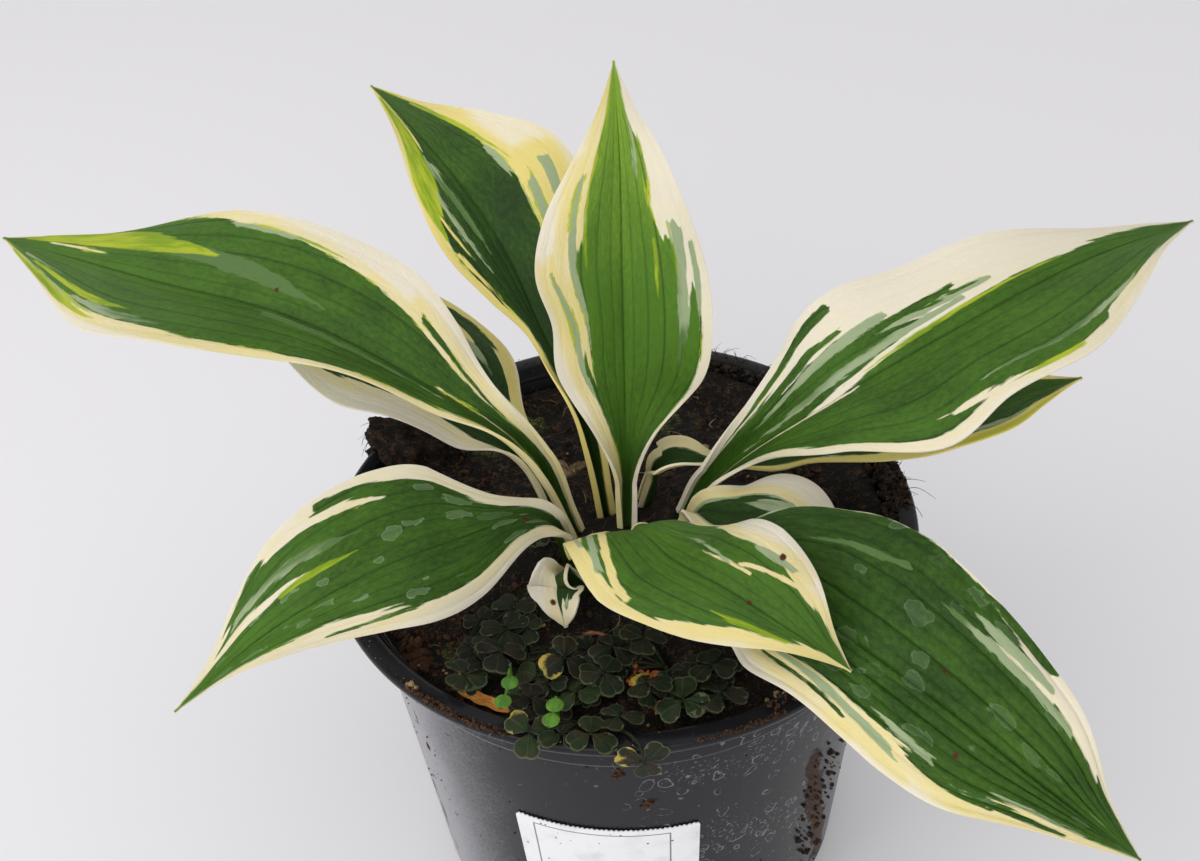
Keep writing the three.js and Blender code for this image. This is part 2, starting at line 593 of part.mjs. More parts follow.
function tubeAlong(curve, radius, sides, steps) {
  const section = new THREE.Shape();
  for (let side = 0; side < sides; side += 1) {
    const angle = 2 * Math.PI * side / sides;
    const point = [radius * Math.cos(angle), radius * Math.sin(angle)];
    if (side === 0) section.moveTo(...point);
    else section.lineTo(...point);
  }
  section.closePath();
  return new THREE.ExtrudeGeometry(section, { extrudePath: curve, steps, bevelEnabled: false });
}

// A leaf of three heart-shaped leaflets, cut out of one thin plate round its stalk
function trefoil(length, thickness) {
  const outline = [[0.1, -0.08], [0.55, -0.44], [0.98, -0.38], [0.9, 0], [0.98, 0.38], [0.55, 0.44]];
  const points = [];
  for (let part = 0; part < 3; part += 1) {
    const turn = 2 * Math.PI * part / 3;
    outline.forEach(([x, y]) => {
      const point = new THREE.Vector2(x * length, y * length);
      points.push(point.rotateAround(new THREE.Vector2(), turn));
    });
  }
  return new THREE.ExtrudeGeometry(new THREE.Shape(points), { depth: thickness, bevelEnabled: false });
}

// A thin pointed petal that grows along +X
function petalPlate(length, thickness) {
  const outline = [[0, -0.08], [0.4, -0.26], [0.8, -0.2], [1, 0.05], [0.75, 0.22], [0.3, 0.24], [0, 0.08]];
  const shape = new THREE.Shape(outline.map(([x, y]) => new THREE.Vector2(x * length, y * length)));
  return new THREE.ExtrudeGeometry(shape, { depth: thickness, bevelEnabled: false });
}

function buildWeed(weed, draw) {
  const onSoil = ([x, y], lift) => new THREE.Vector3(x, y, soilHeight(x, y) + lift);
  const path = [
    onSoil(weed.root, -WEED_ROOT_DEPTH), onSoil(weed.root, RUNNER_LIFT),
    ...weed.runner.map((point) => onSoil(point, RUNNER_LIFT)),
  ];
  const runner = new THREE.CatmullRomCurve3(path);
  const pieces = [tubeAlong(runner, RUNNER_RADIUS, 4, 2 * path.length)];
  weed.leaves.forEach(([x, y, height]) => {
    const head = onSoil([x, y], height);
    const foot = path.slice(1).reduce((best, point) => (
      point.distanceTo(head) < best.distanceTo(head) ? point : best));
    const bend = foot.clone().lerp(head, LEAF_STALK_BOW);
    bend.z += height * LEAF_STALK_BOW;
    const stalk = new THREE.QuadraticBezierCurve3(foot, bend, head);
    pieces.push(tubeAlong(stalk, LEAF_STALK_RADIUS, 3, 3));
    const turn = 2 * Math.PI * draw();
    const tilt = radians(THREE.MathUtils.lerp(...LEAFLET_TILT, draw()));
    const tiltAxis = 2 * Math.PI * draw();
    const size = LEAFLET_LENGTH * THREE.MathUtils.lerp(...LEAFLET_SIZES, draw());
    const blade = trefoil(size, LEAFLET_THICKNESS).rotateZ(turn - tiltAxis).rotateX(tilt);
    blade.rotateZ(tiltAxis).translate(head.x, head.y, head.z - LEAFLET_THICKNESS);
    pieces.push(blade);
  });
  if (weed.overRim) {
    const tip = new THREE.Vector3(...weed.overRim);
    const crest = tip.clone().multiplyScalar(OVER_RIM_CREST.drawnIn);
    crest.z = POT_HEIGHT + OVER_RIM_CREST.height;
    const stalk = new THREE.QuadraticBezierCurve3(path.at(-1), crest, tip);
    pieces.push(tubeAlong(stalk, LEAF_STALK_RADIUS, 3, 6));
    const hanging = trefoil(LEAFLET_LENGTH, LEAFLET_THICKNESS).rotateZ(0.2).rotateY(Math.PI / 2);
    hanging.rotateZ(Math.atan2(tip.y, tip.x)).translate(tip.x, tip.y, tip.z + 1);
    pieces.push(hanging);
  }
  addMesh(weed.name, toGeometry(fuse(pieces)), WEED_GREEN);
}

// A stem that leans over near its top, with two round leaves
function buildSeedling({ name, root, leaves, height }) {
  const ground = soilHeight(...root);
  const level = ground + height;
  const [first, second] = leaves.map(([x, y]) => new THREE.Vector3(x, y, level));
  const top = first.clone().lerp(second, 0.5).toArray();
  const bend = level - SEED_STEM_BEND;
  const pieces = [
    rod([...root, ground - SEED_ROOT_DEPTH], [...root, bend], SEED_STEM_RADIUS, 4),
    rod([...root, bend - SEED_STEM_RADIUS], top, SEED_STEM_RADIUS, 4),
  ];
  [first, second].forEach((centre) => {
    const disc = cylinderUp(SEED_LEAF_RADIUS, SEED_LEAF_THICKNESS, 9);
    pieces.push(disc.translate(centre.x, centre.y, centre.z));
    pieces.push(rod(top, centre.toArray(), SEED_ARM_RADIUS, 4));
  });
  addMesh(name, toGeometry(fuse(pieces)), SEED_GREEN);
}

// Crumpled thin petals that fan out from one place on the soil
function buildDriedTuft({ name, place, petals, length, lift }) {
  const ground = soilHeight(...place) + lift;
  const pieces = [];
  for (let petal = 0; petal < petals; petal += 1) {
    const piece = petalPlate(length, PETAL_THICKNESS).translate(-1, 0, -PETAL_THICKNESS / 2);
    piece.rotateX(radians(PETAL_ROLLS[petal % 2])).rotateY(radians(PETAL_RISES[petal % 3]));
    pieces.push(piece.rotateZ(2 * Math.PI * petal / petals + PETAL_FIRST_TURN));
  }
  const tuft = fuse(pieces);
  const geometry = toGeometry(tuft).translate(...place, ground);
  addMesh(name, geometry, DRIED_BROWN);
}

function buildDriedStrip({ name, from, to, width }) {
  const steps = 6;
  const start = new THREE.Vector2(...from);
  const end = new THREE.Vector2(...to);
  const side = end.clone().sub(start).normalize().rotateAround(new THREE.Vector2(), Math.PI / 2);
  const ground = Math.max(...[0, 0.25, 0.5, 0.75, 1].map((s) => {
    const point = start.clone().lerp(end, s);
    return soilHeight(point.x, point.y);
  }));
  const positions = [];
  for (let row = 0; row <= steps; row += 1) {
    const s = row / steps;
    const centre = start.clone().lerp(end, s);
    const half = STRIP_END_WIDTH / 2 + width / 2 * Math.sin(Math.PI * (0.08 + 0.84 * s));
    for (const across of [-1, 0, 1]) {
      const arch = STRIP_BOW * Math.sin(Math.PI * s) + STRIP_CUP * Math.abs(across);
      const z = ground + STRIP_LIFT + arch;
      const x = centre.x - side.x * half * across;
      const y = centre.y - side.y * half * across;
      positions.push(x, y, z + STRIP_THICKNESS, x, y, z);
    }
  }
  addMesh(name, geometryFrom(positions, sheetTriangles(steps + 1, 3)), DRIED_BROWN);
}

function buildTwig({ name, from, to, radius }) {
  const lift = radius + 0.5;
  const ends = [from, to].map(([x, y]) => new THREE.Vector3(x, y, soilHeight(x, y) + lift));
  const middle = ends[0].clone().lerp(ends[1], 0.5).add(new THREE.Vector3(...TWIG_BOW));
  const curve = new THREE.QuadraticBezierCurve3(ends[0], middle, ends[1]);
  addMesh(name, tubeAlong(curve, radius, 6, 6), DRIED_BROWN);
}

function buildLabel() {
  const positions = [];
  for (let step = 0; step <= LABEL_STEPS; step += 1) {
    const degrees = LABEL_FROM_DEG + (LABEL_TO_DEG - LABEL_FROM_DEG) * step / LABEL_STEPS;
    const angle = radians(degrees);
    for (const z of [LABEL_TOP, LABEL_TOP - LABEL_HEIGHT]) {
      for (const lift of [LABEL_THICKNESS + CLEARANCE, CLEARANCE]) {
        const radius = wallRadius(z) + lift;
        positions.push(radius * Math.cos(angle), radius * Math.sin(angle), z);
      }
    }
  }
  addMesh('label', geometryFrom(positions, sheetTriangles(LABEL_STEPS + 1, 2)), LABEL_WHITE);
}

buildPot();
buildSoil();
LEAVES.forEach(buildLeaf);
const draw = makeDraw(WEED_SEED);
WEEDS.forEach((weed) => buildWeed(weed, draw));
SEEDLINGS.forEach(buildSeedling);
buildDriedStrip(DRIED_STRIP);
buildTwig(DRIED_TWIG);
DRIED_FLOWERS.forEach(buildDriedTuft);
buildDriedTuft(DRIED_SHEATH);
buildLabel();

export default group;
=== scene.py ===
"""Looks for a potted hosta: white-edged leaves, a black nursery pot, peat, weeds and a blank label.

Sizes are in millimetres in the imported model's frame, and the meshes are written in metres.
"""
from __future__ import annotations

import logging
import math
from dataclasses import dataclass
from enum import Enum
from typing import Any, Callable, Iterator, Mapping, Sequence

import bmesh
import bpy
import numpy as np
from mathutils import Matrix, Vector, noise

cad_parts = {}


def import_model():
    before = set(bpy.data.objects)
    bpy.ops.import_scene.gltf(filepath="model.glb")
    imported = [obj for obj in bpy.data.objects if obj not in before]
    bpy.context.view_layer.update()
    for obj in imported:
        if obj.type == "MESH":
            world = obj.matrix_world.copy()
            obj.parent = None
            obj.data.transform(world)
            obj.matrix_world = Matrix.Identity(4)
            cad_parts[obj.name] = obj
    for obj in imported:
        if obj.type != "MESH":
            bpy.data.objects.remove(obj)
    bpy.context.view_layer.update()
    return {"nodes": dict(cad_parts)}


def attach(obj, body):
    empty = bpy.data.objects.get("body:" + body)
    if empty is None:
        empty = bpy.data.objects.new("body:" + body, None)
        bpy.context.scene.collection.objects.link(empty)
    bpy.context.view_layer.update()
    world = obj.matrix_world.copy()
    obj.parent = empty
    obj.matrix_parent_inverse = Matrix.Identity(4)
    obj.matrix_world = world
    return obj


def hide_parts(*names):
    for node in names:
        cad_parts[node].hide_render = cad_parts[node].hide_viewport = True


LOG = logging.getLogger("potted_hosta")
MM = 0.001
BODY = "root"

# Edges that turn more than this are sharp
SHARP_ANGLE = math.radians(48)
# Points closer than this are one, in millimetres
SAME_PLACE = 1e-4
# How far ahead and behind a curve's direction is read, in its steps
CURVE_STEP = 1e-3
# Units of a piece's own map for a millimetre
MAP_UNIT = 0.01
# The repeatable draws' factor and range
DRAW_FACTOR, DRAW_RANGE = 16807, 2147483647
# Sockets of the colour Mix node
MIX_FACTOR, MIX_FIRST, MIX_SECOND, MIX_RESULT = 0, 6, 7, 2

# Pot and soil sizes shared by several pieces
POT_HEIGHT = 150.0
RIM_RADIUS = 95.0
LIP_INNER_RADIUS = 88.5
LIP_DEPTH = 4.0
COLLAR_RADIUS = 86.4
COLLAR_BOTTOM = 130.0
WALL_TOP_RADIUS = 84.4
WALL_FOOT_RADIUS = 74.0
WALL = 1.8
SOIL_EDGE = 141.0
SOIL_RISE = 4.0
SOIL_LUMP_HEIGHT = 1.0

Pair = tuple[float, float]
Triple = tuple[float, float, float]
Mesh = bmesh.types.BMesh
Socket = bpy.types.NodeSocket
Material = bpy.types.Material
Piece = bpy.types.Object
Shape = Callable[[np.ndarray, np.ndarray], np.ndarray]


def linear(hex_colour: str) -> tuple[float, float, float, float]:
    """Turns an sRGB hex colour into the linear colour that a shader socket takes.

    Args:
        hex_colour: six hex digits after a hash sign.

    Returns:
        Red, green, blue and alpha.
    """
    parts = (int(hex_colour[start:start + 2], 16) / 255 for start in (1, 3, 5))
    red, green, blue = (c / 12.92 if c <= 0.04045 else ((c + 0.055) / 1.055) ** 2.4 for c in parts)
    return red, green, blue, 1.0


def add_node(
    tree: bpy.types.NodeTree, kind: str, values: Mapping[str | int, Any], output: str | int = 0
) -> Socket:
    """Adds a node with its settings and links.

    Args:
        tree: the material's node tree.
        kind: the node's type name after ShaderNode.
        values: the node's options, and its sockets with a value or with the output that feeds each.
        output: which of the node's outputs is wanted.

    Returns:
        That output.
    """
    node = tree.nodes.new("ShaderNode" + kind)
    for name, value in values.items():
        if isinstance(name, str) and name not in node.inputs:
            setattr(node, name, value)
        elif isinstance(value, Socket):
            tree.links.new(value, node.inputs[name])
        else:
            node.inputs[name].default_value = value
    return node.outputs[output]


class Recipe:
    """A material that is put together from patterns.

    Attributes:
        material: the material.
        tree: its node tree.
        place: the place that its patterns read.
        of: the mesh's marks and the noise patterns, by name.
    """

    def __init__(
        self, name: str, marks: Sequence[str] = (), grains: Mapping[str, Sequence[Any]] | None = None,
        uv_map: str = "", shift: Triple = (0.0, 0.0, 0.0),
    ) -> None:
        """Starts a material with the marks and the noise that its patterns are made from.

        Args:
            name: what the surface is.
            marks: the mesh's attributes that it reads.
            grains: each noise pattern's scale, detail and roughness, and how it is stretched.
            uv_map: the map that it reads in place of Object coordinates.
            shift: moves its patterns.
        """
        self.material = bpy.data.materials.new(name)
        self.material.use_nodes = True
        self.tree = self.material.node_tree
        self.tree.nodes.clear()
        if uv_map:
            self.place = add_node(self.tree, "UVMap", {"uv_map": uv_map})
        else:
            self.place = add_node(self.tree, "TexCoord", {}, "Object")
        if any(shift):
            self.place = add_node(self.tree, "Mapping", {"Location": shift, "Vector": self.place})
        self.of = {
            key: add_node(self.tree, "Attribute", {"attribute_name": key}, "Fac") for key in marks
        }
        for key, (scale, detail, roughness, *stretch) in (grains or {}).items():
            place = self.place
            if stretch:
                place = add_node(
                    self.tree, "VectorMath", {"operation": "MULTIPLY", 0: place, 1: stretch[0]})
            self.of[key] = add_node(
                self.tree, "TexNoise",
                {"Scale": scale, "Detail": detail, "Roughness": roughness, "Vector": place}, "Fac")

    def summed(self, *parts: tuple[str | Socket, float]) -> Socket:
        """Adds outputs, each moved by half a unit down and multiplied by its weight.

        Args:
            parts: outputs, or the names of marks and noise, with their weights.

        Returns:
            The sum.
        """
        total: Socket | None = None
        for source, weight in parts:
            centred = add_node(self.tree, "Math", {
                "operation": "MULTIPLY_ADD", 0: self.of[source] if isinstance(source, str) else source,
                1: weight, 2: -0.5 * weight})
            total = centred if total is None else add_node(
                self.tree, "Math", {"operation": "ADD", 0: total, 1: centred})
        return total

    def share(self, source: Any, low: float, high: float, most: float = 1.0) -> Socket:
        """Spreads a pattern's range from low to high, eased, over 0 to most.

        Args:
            source: an output, the name of a mark or a noise, or a tuple of what summed() takes.
            low: the value that gives 0.
            high: the value that gives most.
            most: the largest share.

        Returns:
            The share.
        """
        if isinstance(source, tuple):
            source = self.summed(*source)
        elif isinstance(source, str):
            source = self.of[source]
        return add_node(self.tree, "MapRange", {
            "interpolation_type": "SMOOTHSTEP", "From Min": low, "From Max": high, "To Max": most,
            "Value": source})

    def layered(self, base: str | Socket, *layers: Sequence[Any]) -> Socket:
        """Paints colours over each other.

        Args:
            base: the lowest colour, in hex or as an output.
            layers: each layer's colour, and then its share as an output or as what share() takes.

        Returns:
            The colour that shows.
        """
        for colour, *shown in layers:
            values: dict[str | int, Any] = {
                "data_type": "RGBA", MIX_FACTOR: self.share(*shown) if len(shown) > 1 else shown[0]}
            for socket, paint in ((MIX_FIRST, base), (MIX_SECOND, colour)):
                values[socket] = linear(paint) if isinstance(paint, str) else paint
            base = add_node(self.tree, "Mix", values, MIX_RESULT)
        return base

    def drop_marks(
        self, wobble: float, detail: float, bend: Triple, stretch: Triple, least: float
    ) -> tuple[Socket, Socket, Socket]:
        """Uneven rounds, each in a cell of its own, as water drops leave them.

        Args:
            wobble: how fine the rounds' unevenness is.
            detail: the unevenness's detail.
            bend: how far it moves their outlines.
            stretch: cells for each unit of place, along each axis.
            least: the smallest round's radius, in cells.

        Returns:
            The distance outside the round, the distance from its edge, and a number for the cell.
        """
        tree = self.tree
        uneven = add_node(
            tree, "TexNoise", {"Scale": wobble, "Detail": detail, "Vector": self.place}, "Color")
        bent = add_node(
            tree, "VectorMath", {"operation": "MULTIPLY_ADD", 0: uneven, 1: bend, 2: self.place})
        spread = add_node(tree, "VectorMath", {"operation": "MULTIPLY", 0: bent, 1: stretch})
        cell = add_node(tree, "TexVoronoi", {"Scale": 1.0, "Vector": spread})
        number = add_node(tree, "SeparateColor", {"Color": cell.node.outputs["Color"]})
        radius = add_node(tree, "Math", {"operation": "MULTIPLY_ADD", 0: number, 1: 0.3, 2: least})
        off = add_node(tree, "Math", {"operation": "SUBTRACT", 0: cell, 1: radius})
        away = add_node(tree, "Math", {"operation": "ABSOLUTE", 0: off})
        return off, away, number.node.outputs[1]

    def specks(self, scale: float, size: Pair, chosen: Pair) -> Socket:
        """Scattered round specks.

        Args:
            scale: cells for each unit of place.
            size: distances in cells where a speck starts and where it is full.
            chosen: the span of cell numbers over which cells come to have one.

        Returns:
            Their share.
        """
        cell = add_node(self.tree, "TexVoronoi", {"Scale": scale, "Vector": self.place})
        return add_node(self.tree, "Math", {
            "operation": "MULTIPLY", 0: self.share(cell, *size),
            1: self.share(cell.node.outputs["Color"], *chosen)})

    def finish(
        self, colour: Socket | str, relief: Sequence[Any], surface: Mapping[str, Any]
    ) -> Material:
        """Joins the material's shader to its output.

        Args:
            colour: what it shows.
            relief: the bump's strength, its distance in metres and its height.
            surface: the shader's other sockets.

        Returns:
            The material.
        """
        values = {"Base Color": linear(colour) if isinstance(colour, str) else colour, **surface}
        if relief:
            strength, distance, height = relief
            values["Normal"] = add_node(
                self.tree, "Bump", {"Strength": strength, "Distance": distance, "Height": height})
        shader = add_node(self.tree, "BsdfPrincipled", values)
        output = self.tree.nodes.new("ShaderNodeOutputMaterial")
        self.tree.links.new(shader, output.inputs["Surface"])
        return self.material


def smooth_step(x: np.ndarray | float) -> np.ndarray:
    """Eases from 0 to 1 between x = 0 and x = 1."""
    t = np.clip(x, 0.0, 1.0)
    return t * t * (3.0 - 2.0 * t)


def smooth_run(values: Sequence[Any], place: np.ndarray) -> np.ndarray:
    """Reads a smooth curve through a list of numbers or points.

    Args:
        values: the numbers or points.
        place: where to read, counted in list steps.

    Returns:
        One row for each place.
    """
    rows = np.asarray(values, float)
    rows = rows[:, None] if rows.ndim == 1 else rows
    last = len(rows) - 1
    held = np.vstack([2 * rows[0] - rows[1], rows, 2 * rows[-1] - rows[-2]])
    start = np.clip(np.floor(place).astype(int), 0, last - 1)
    f = (place - start)[:, None]
    before, first, second, after = (held[start + step] for step in range(4))
    return (
        (2 * f**3 - 3 * f**2 + 1) * first
        + (f**3 - 2 * f**2 + f) * (second - before) / 2
        + (3 * f**2 - 2 * f**3) * second
        + (f**3 - f**2) * (after - first) / 2
    )


def soil_height(x: float, y: float) -> float:
    """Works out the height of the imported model's soil surface.

    Args:
        x: the place's first coordinate in millimetres.
        y: its second one.

    Returns:
        The height in millimetres.
    """
    reach = math.hypot(x, y) / LIP_INNER_RADIUS
    lumps = (
        math.sin(x * 0.21 + 1.3) * math.cos(y * 0.17 + 0.4)
        + 0.6 * math.sin(x * 0.11 - y * 0.23 + 2.1)
        + 0.4 * math.cos(x * 0.37 + y * 0.31)
    )
    return SOIL_EDGE + SOIL_RISE * (1 - reach * reach) + SOIL_LUMP_HEIGHT * lumps * (1 - 0.5 * reach)


def over_soil(x: float, y: float, lift: float) -> Vector:
    """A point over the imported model's soil surface."""
    return Vector((x, y, soil_height(x, y) + lift))


def wall_radius(z: float) -> float:
    """The pot wall's outer radius at a height below the collar, in millimetres."""
    return WALL_FOOT_RADIUS + (WALL_TOP_RADIUS - WALL_FOOT_RADIUS) * z / COLLAR_BOTTOM


def turn_z(angle: float) -> Matrix:
    """A turn about the upright axis."""
    return Matrix.Rotation(angle, 4, "Z")


def blank_mesh(*marks: str) -> Mesh:
    """An empty mesh with a number for each mark on its points."""
    mesh_data = bmesh.new()
    for key in marks:
        mesh_data.verts.layers.float.new(key)
    return mesh_data


def finish_piece(
    name: str, mesh_data: Mesh, material: Material, nodes: Sequence[str], smooth: bool = True
) -> Piece:
    """Turns a bmesh in millimetres into a piece of the object.

    Args:
        name: the piece's name.
        mesh_data: the shape; it is freed.
        material: its finish.
        nodes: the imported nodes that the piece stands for.
        smooth: whether the faces are shaded smooth.

    Returns:
        The new object, which rides on the root body.
    """
    bmesh.ops.recalc_face_normals(mesh_data, faces=mesh_data.faces)
    bmesh.ops.scale(mesh_data, vec=(MM, MM, MM), verts=mesh_data.verts)
    mesh = bpy.data.meshes.new(name)
    mesh_data.to_mesh(mesh)
    mesh_data.free()
    if smooth:
        mesh.polygons.foreach_set("use_smooth", [True] * len(mesh.polygons))
        mesh.set_sharp_from_angle(angle=SHARP_ANGLE)
    mesh.materials.append(material)
    piece = bpy.data.objects.new(name, mesh)
    bpy.context.scene.collection.objects.link(piece)
    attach(piece, BODY)
    if nodes:
        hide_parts(*nodes)
    LOG.info("%s: %d faces", name, len(mesh.polygons))
    return piece


class LeafColour(Enum):
    """The colours that a hosta leaf is marked with, each with its mesh attribute's name."""

    GREEN = "green"
    GREY = "grey"
    LIME = "lime"
    CREAM = "cream"


@dataclass(frozen=True)
class Streak:
    """A streak that runs along the veins, thin toward the stalk and blunt toward the tip.

    Places are (eighths of the blade from its neck, across from -1 at the left margin to 1 at the
    right one), and the half width is in the same measure across.
    """

    colour: LeafColour
    start: Pair
    end: Pair
    half_width: float

    def inside(
        self, eighths: np.ndarray, across: np.ndarray, width: np.ndarray, length: float
    ) -> np.ndarray:
        """Works out how far each point is inside the streak, in millimetres.

        Args:
            eighths: places along the blade.
            across: places across it.
            width: half widths at the places, in millimetres.
            length: the blade's length in millimetres.

        Returns:
            The distances.
        """
        (s0, a0), (s1, a1) = self.start, self.end
        run = (eighths - s0) / (s1 - s0)
        middle = a0 + (a1 - a0) * np.clip(run, 0, 1)
        taper = smooth_step(0.15 + run / 0.55)
        sideways = (self.half_width * taper - np.abs(across - middle)) * width
        lengthways = np.minimum(run, 1 - run) * (s1 - s0) / 8 * length * 0.6
        return np.minimum(sideways, lengthways)


@dataclass(frozen=True)
class HalfBlade:
    """One side of a leaf: widths every eighth, slopes at neck, middle and tip, and its waves."""

    half_width: tuple[float, ...]
    fold: Triple
    edge: Triple
    wave: Triple
    lobe: float = 0.0


@dataclass(frozen=True)
class Sections:
    """Arrays with one value for each point of a leaf."""

    points: np.ndarray
    outward: np.ndarray
    width: np.ndarray
    blade: np.ndarray


@dataclass(frozen=True)
class LeafShape:
    """A leaf's midrib and halves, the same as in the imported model."""

    root: Pair
    rib: tuple[Triple, ...]
    roll: Triple
    left: HalfBlade
    right: HalfBlade
    opening: Pair = (1.0, 1.9)
    flare_from: float = 0.5
    root_height: float = 122.0
    stalk_half_width: float = 3.6
    tip_half_width: float = 0.5
    stalk_slopes: Pair = (35.0, 95.0)

    def rib_points(self) -> np.ndarray:
        """The midrib's root, neck, quarter points and tip."""
        return np.vstack([[*self.root, self.root_height], self.rib]).astype(float)

    def length(self) -> float:
        """The blade's length along its midrib, in millimetres."""
        return float(np.linalg.norm(np.diff(self.rib_points()[1:], axis=0), axis=1).sum())

    def sections(self, u: np.ndarray, across: np.ndarray) -> Sections:
        """Places points on the leaf's upper face.

        Args:
            u: how far along each point is, in midrib steps from the root, with the neck at 1.
            across: from -1 at the left margin to 1 at the right one.

        Returns:
            The points with their outward directions, local half widths and blade places.
        """
        points = self.rib_points()
        last = len(points) - 1
        place = smooth_run(points, u)
        ahead = smooth_run(points, np.minimum(u + CURVE_STEP, last))
        along = ahead - smooth_run(points, np.maximum(u - CURVE_STEP, 0))
        along /= np.linalg.norm(along, axis=1)[:, None]
        heading = math.atan2(points[-1][1] - self.root[1], points[-1][0] - self.root[0])
        level = np.array([math.sin(heading), -math.cos(heading), 0.0])
        flat_right = level - (along @ level)[:, None] * along
        flat_right /= np.linalg.norm(flat_right, axis=1)[:, None]
        flat_up = np.cross(flat_right, along)
        s = np.clip((u - 1) / (last - 1), 0, 1)
        roll = (np.radians(np.interp(s, (0, 0.5, 1), self.roll)) * smooth_step(u))[:, None]
        right = flat_right * np.cos(roll) + flat_up * np.sin(roll)
        up = flat_up * np.cos(roll) - flat_right * np.sin(roll)
        result = np.zeros((2, len(u), 3))
        width = np.zeros(len(u))
        for half, sign, chosen in ((self.left, -1, across < 0), (self.right, 1, across >= 0)):
            x, y, back, slope, width[chosen] = self.half_points(
                half, u[chosen], s[chosen], np.abs(across[chosen]))
            result[0, chosen] = (
                place[chosen] + sign * x[:, None] * right[chosen] + y[:, None] * up[chosen]
                - back[:, None] * along[chosen]
            )
            result[1, chosen] = (
                up[chosen] * np.cos(slope)[:, None] - right[chosen] * sign * np.sin(slope)[:, None]
            )
        return Sections(result[0], result[1], width, s)

    def half_points(
        self, half: HalfBlade, u: np.ndarray, s: np.ndarray, t: np.ndarray
    ) -> tuple[np.ndarray, ...]:
        """Works out one half's cross-section.

        Args:
            half: the side of the leaf.
            u: places along the midrib.
            s: places along the blade.
            t: places across, 0 at the midrib and 1 at the margin.

        Returns:
            Offsets across, up and back, the slope, and the half width.
        """
        blend = smooth_step((u - self.opening[0]) / (self.opening[1] - self.opening[0]))
        fold, edge = (
            np.radians(stalk + (np.interp(s, (0, 0.5, 1), blade) - stalk) * blend)
            for stalk, blade in zip(self.stalk_slopes, (half.fold, half.edge))
        )
        flare = smooth_step((u - self.flare_from) / (1 - self.flare_from))
        blade = smooth_run(half.half_width, s * 8)[:, 0]
        stalk = self.stalk_half_width + (half.half_width[0] - self.stalk_half_width) * flare
        width = np.where(u < 1, stalk, np.maximum(blade, self.tip_half_width))
        height, count, start = half.wave
        fade = smooth_step(s / 0.2) * smooth_step((1 - s) / 0.2)
        wave = height * np.sin(2 * np.pi * (count * s + start)) * fade * t**2.5
        back = half.lobe * np.maximum(0, 1 - s / 0.7) ** 2 * flare * t**1.4
        turn = np.where(np.abs(edge - fold) < 1e-4, 1e-4, edge - fold)
        slope = fold + turn * t
        x = (np.sin(slope) - np.sin(fold)) / turn * width
        y = (np.cos(fold) - np.cos(slope)) / turn * width + wave
        return x, y, back, slope, width


@dataclass(frozen=True)
class LeafMarking:
    """Where a leaf is cream, grey-green and lime.

    Margins give where the cream starts, across, at every eighth of the blade. A brown spot has its
    place, as in Streak, and its radius in millimetres. Each row of strips has their number in a half,
    a change of seed, and how far the colours reach along them, in eighths of the blade.
    """

    left_margin: tuple[float, ...]
    right_margin: tuple[float, ...]
    streaks: tuple[Streak, ...] = ()
    stalk_margin: float = 0.72
    grey_band: float = 0.1
    gold: Pair = (0.3, 0.3)
    scale_rings: float = 0.0
    lime_edge: float = 0.12
    brown_spots: tuple[Triple, ...] = ()
    strips: tuple[tuple[int, int, float], ...] = ((11, 0, 0.26), (27, 50, 0.1))

    def fields(
        self, u: np.ndarray, across: np.ndarray, sections: Sections, length: float, seed: int
    ) -> dict[str, np.ndarray]:
        """Works out how far each point is inside each colour, in millimetres.

        Args:
            u: places along the midrib.
            across: places across the leaf.
            sections: the leaf's points.
            length: the blade's length in millimetres.
            seed: picks where the colours end in each strip between fine veins.

        Returns:
            One array for each colour, positive inside it.
        """
        drawn_out = sum(
            self.strip_ends(across, number, seed + change) * reach for number, change, reach in self.strips)
        drawn_out *= smooth_step((u - 1.1) / 0.6) * smooth_step((5 - u) / 0.8)
        s, width = np.clip(sections.blade + drawn_out / 8, 0, 1), sections.width
        left, right = (smooth_run(side, s * 8)[:, 0] for side in (self.left_margin, self.right_margin))
        blend = smooth_step((u - 0.6) / 0.5)
        margin = self.stalk_margin + (np.where(across < 0, left, right) - self.stalk_margin) * blend
        cream = (np.abs(across) - margin) * width
        grey = cream + self.grey_band
        lime = np.full(len(u), -20.0)
        eighths = (u - 1) * 2
        for streak in self.streaks:
            inside = streak.inside(eighths + 0.5 * drawn_out, across, width, length)
            if streak.colour is LeafColour.CREAM:
                cream = np.maximum(cream, inside)
            elif streak.colour is LeafColour.LIME:
                lime = np.maximum(lime, inside)
            else:
                cream = np.minimum(cream, -inside)
                lime = np.minimum(lime, -inside)
                is_grey = streak.colour is LeafColour.GREY
                grey = np.maximum(grey, inside) if is_grey else np.minimum(grey, -inside)
        spots = np.full(len(u), -5.0)
        for along, side, radius in self.brown_spots:
            off = np.hypot((eighths - along) / 8 * length, (across - side) * width)
            spots = np.maximum(spots, radius - off)
        gold = np.where(across < 0, self.gold[0], self.gold[1])
        return {"cream": cream, "grey": grey, "lime": lime, "gold": gold, "spots": spots}

    def strip_ends(self, across: np.ndarray, strips: int, seed: int) -> np.ndarray:
        """Works out how far, from -1 to 1, the colours reach along each strip between fine veins.

        Args:
            across: places across the leaf.
            strips: how many strips each half has.
            seed: picks the reaches.

        Returns:
            The reach at each place, with a short step between strips.
        """
        reach = np.random.default_rng(seed).uniform(-1, 1, 2 * strips + 2)
        place = (across + 1) * strips
        strip = np.clip(np.floor(place).astype(int), 0, 2 * strips)
        step = smooth_step((place - strip - 0.35) / 0.3)
        return reach[strip] * (1 - step) + reach[strip + 1] * step


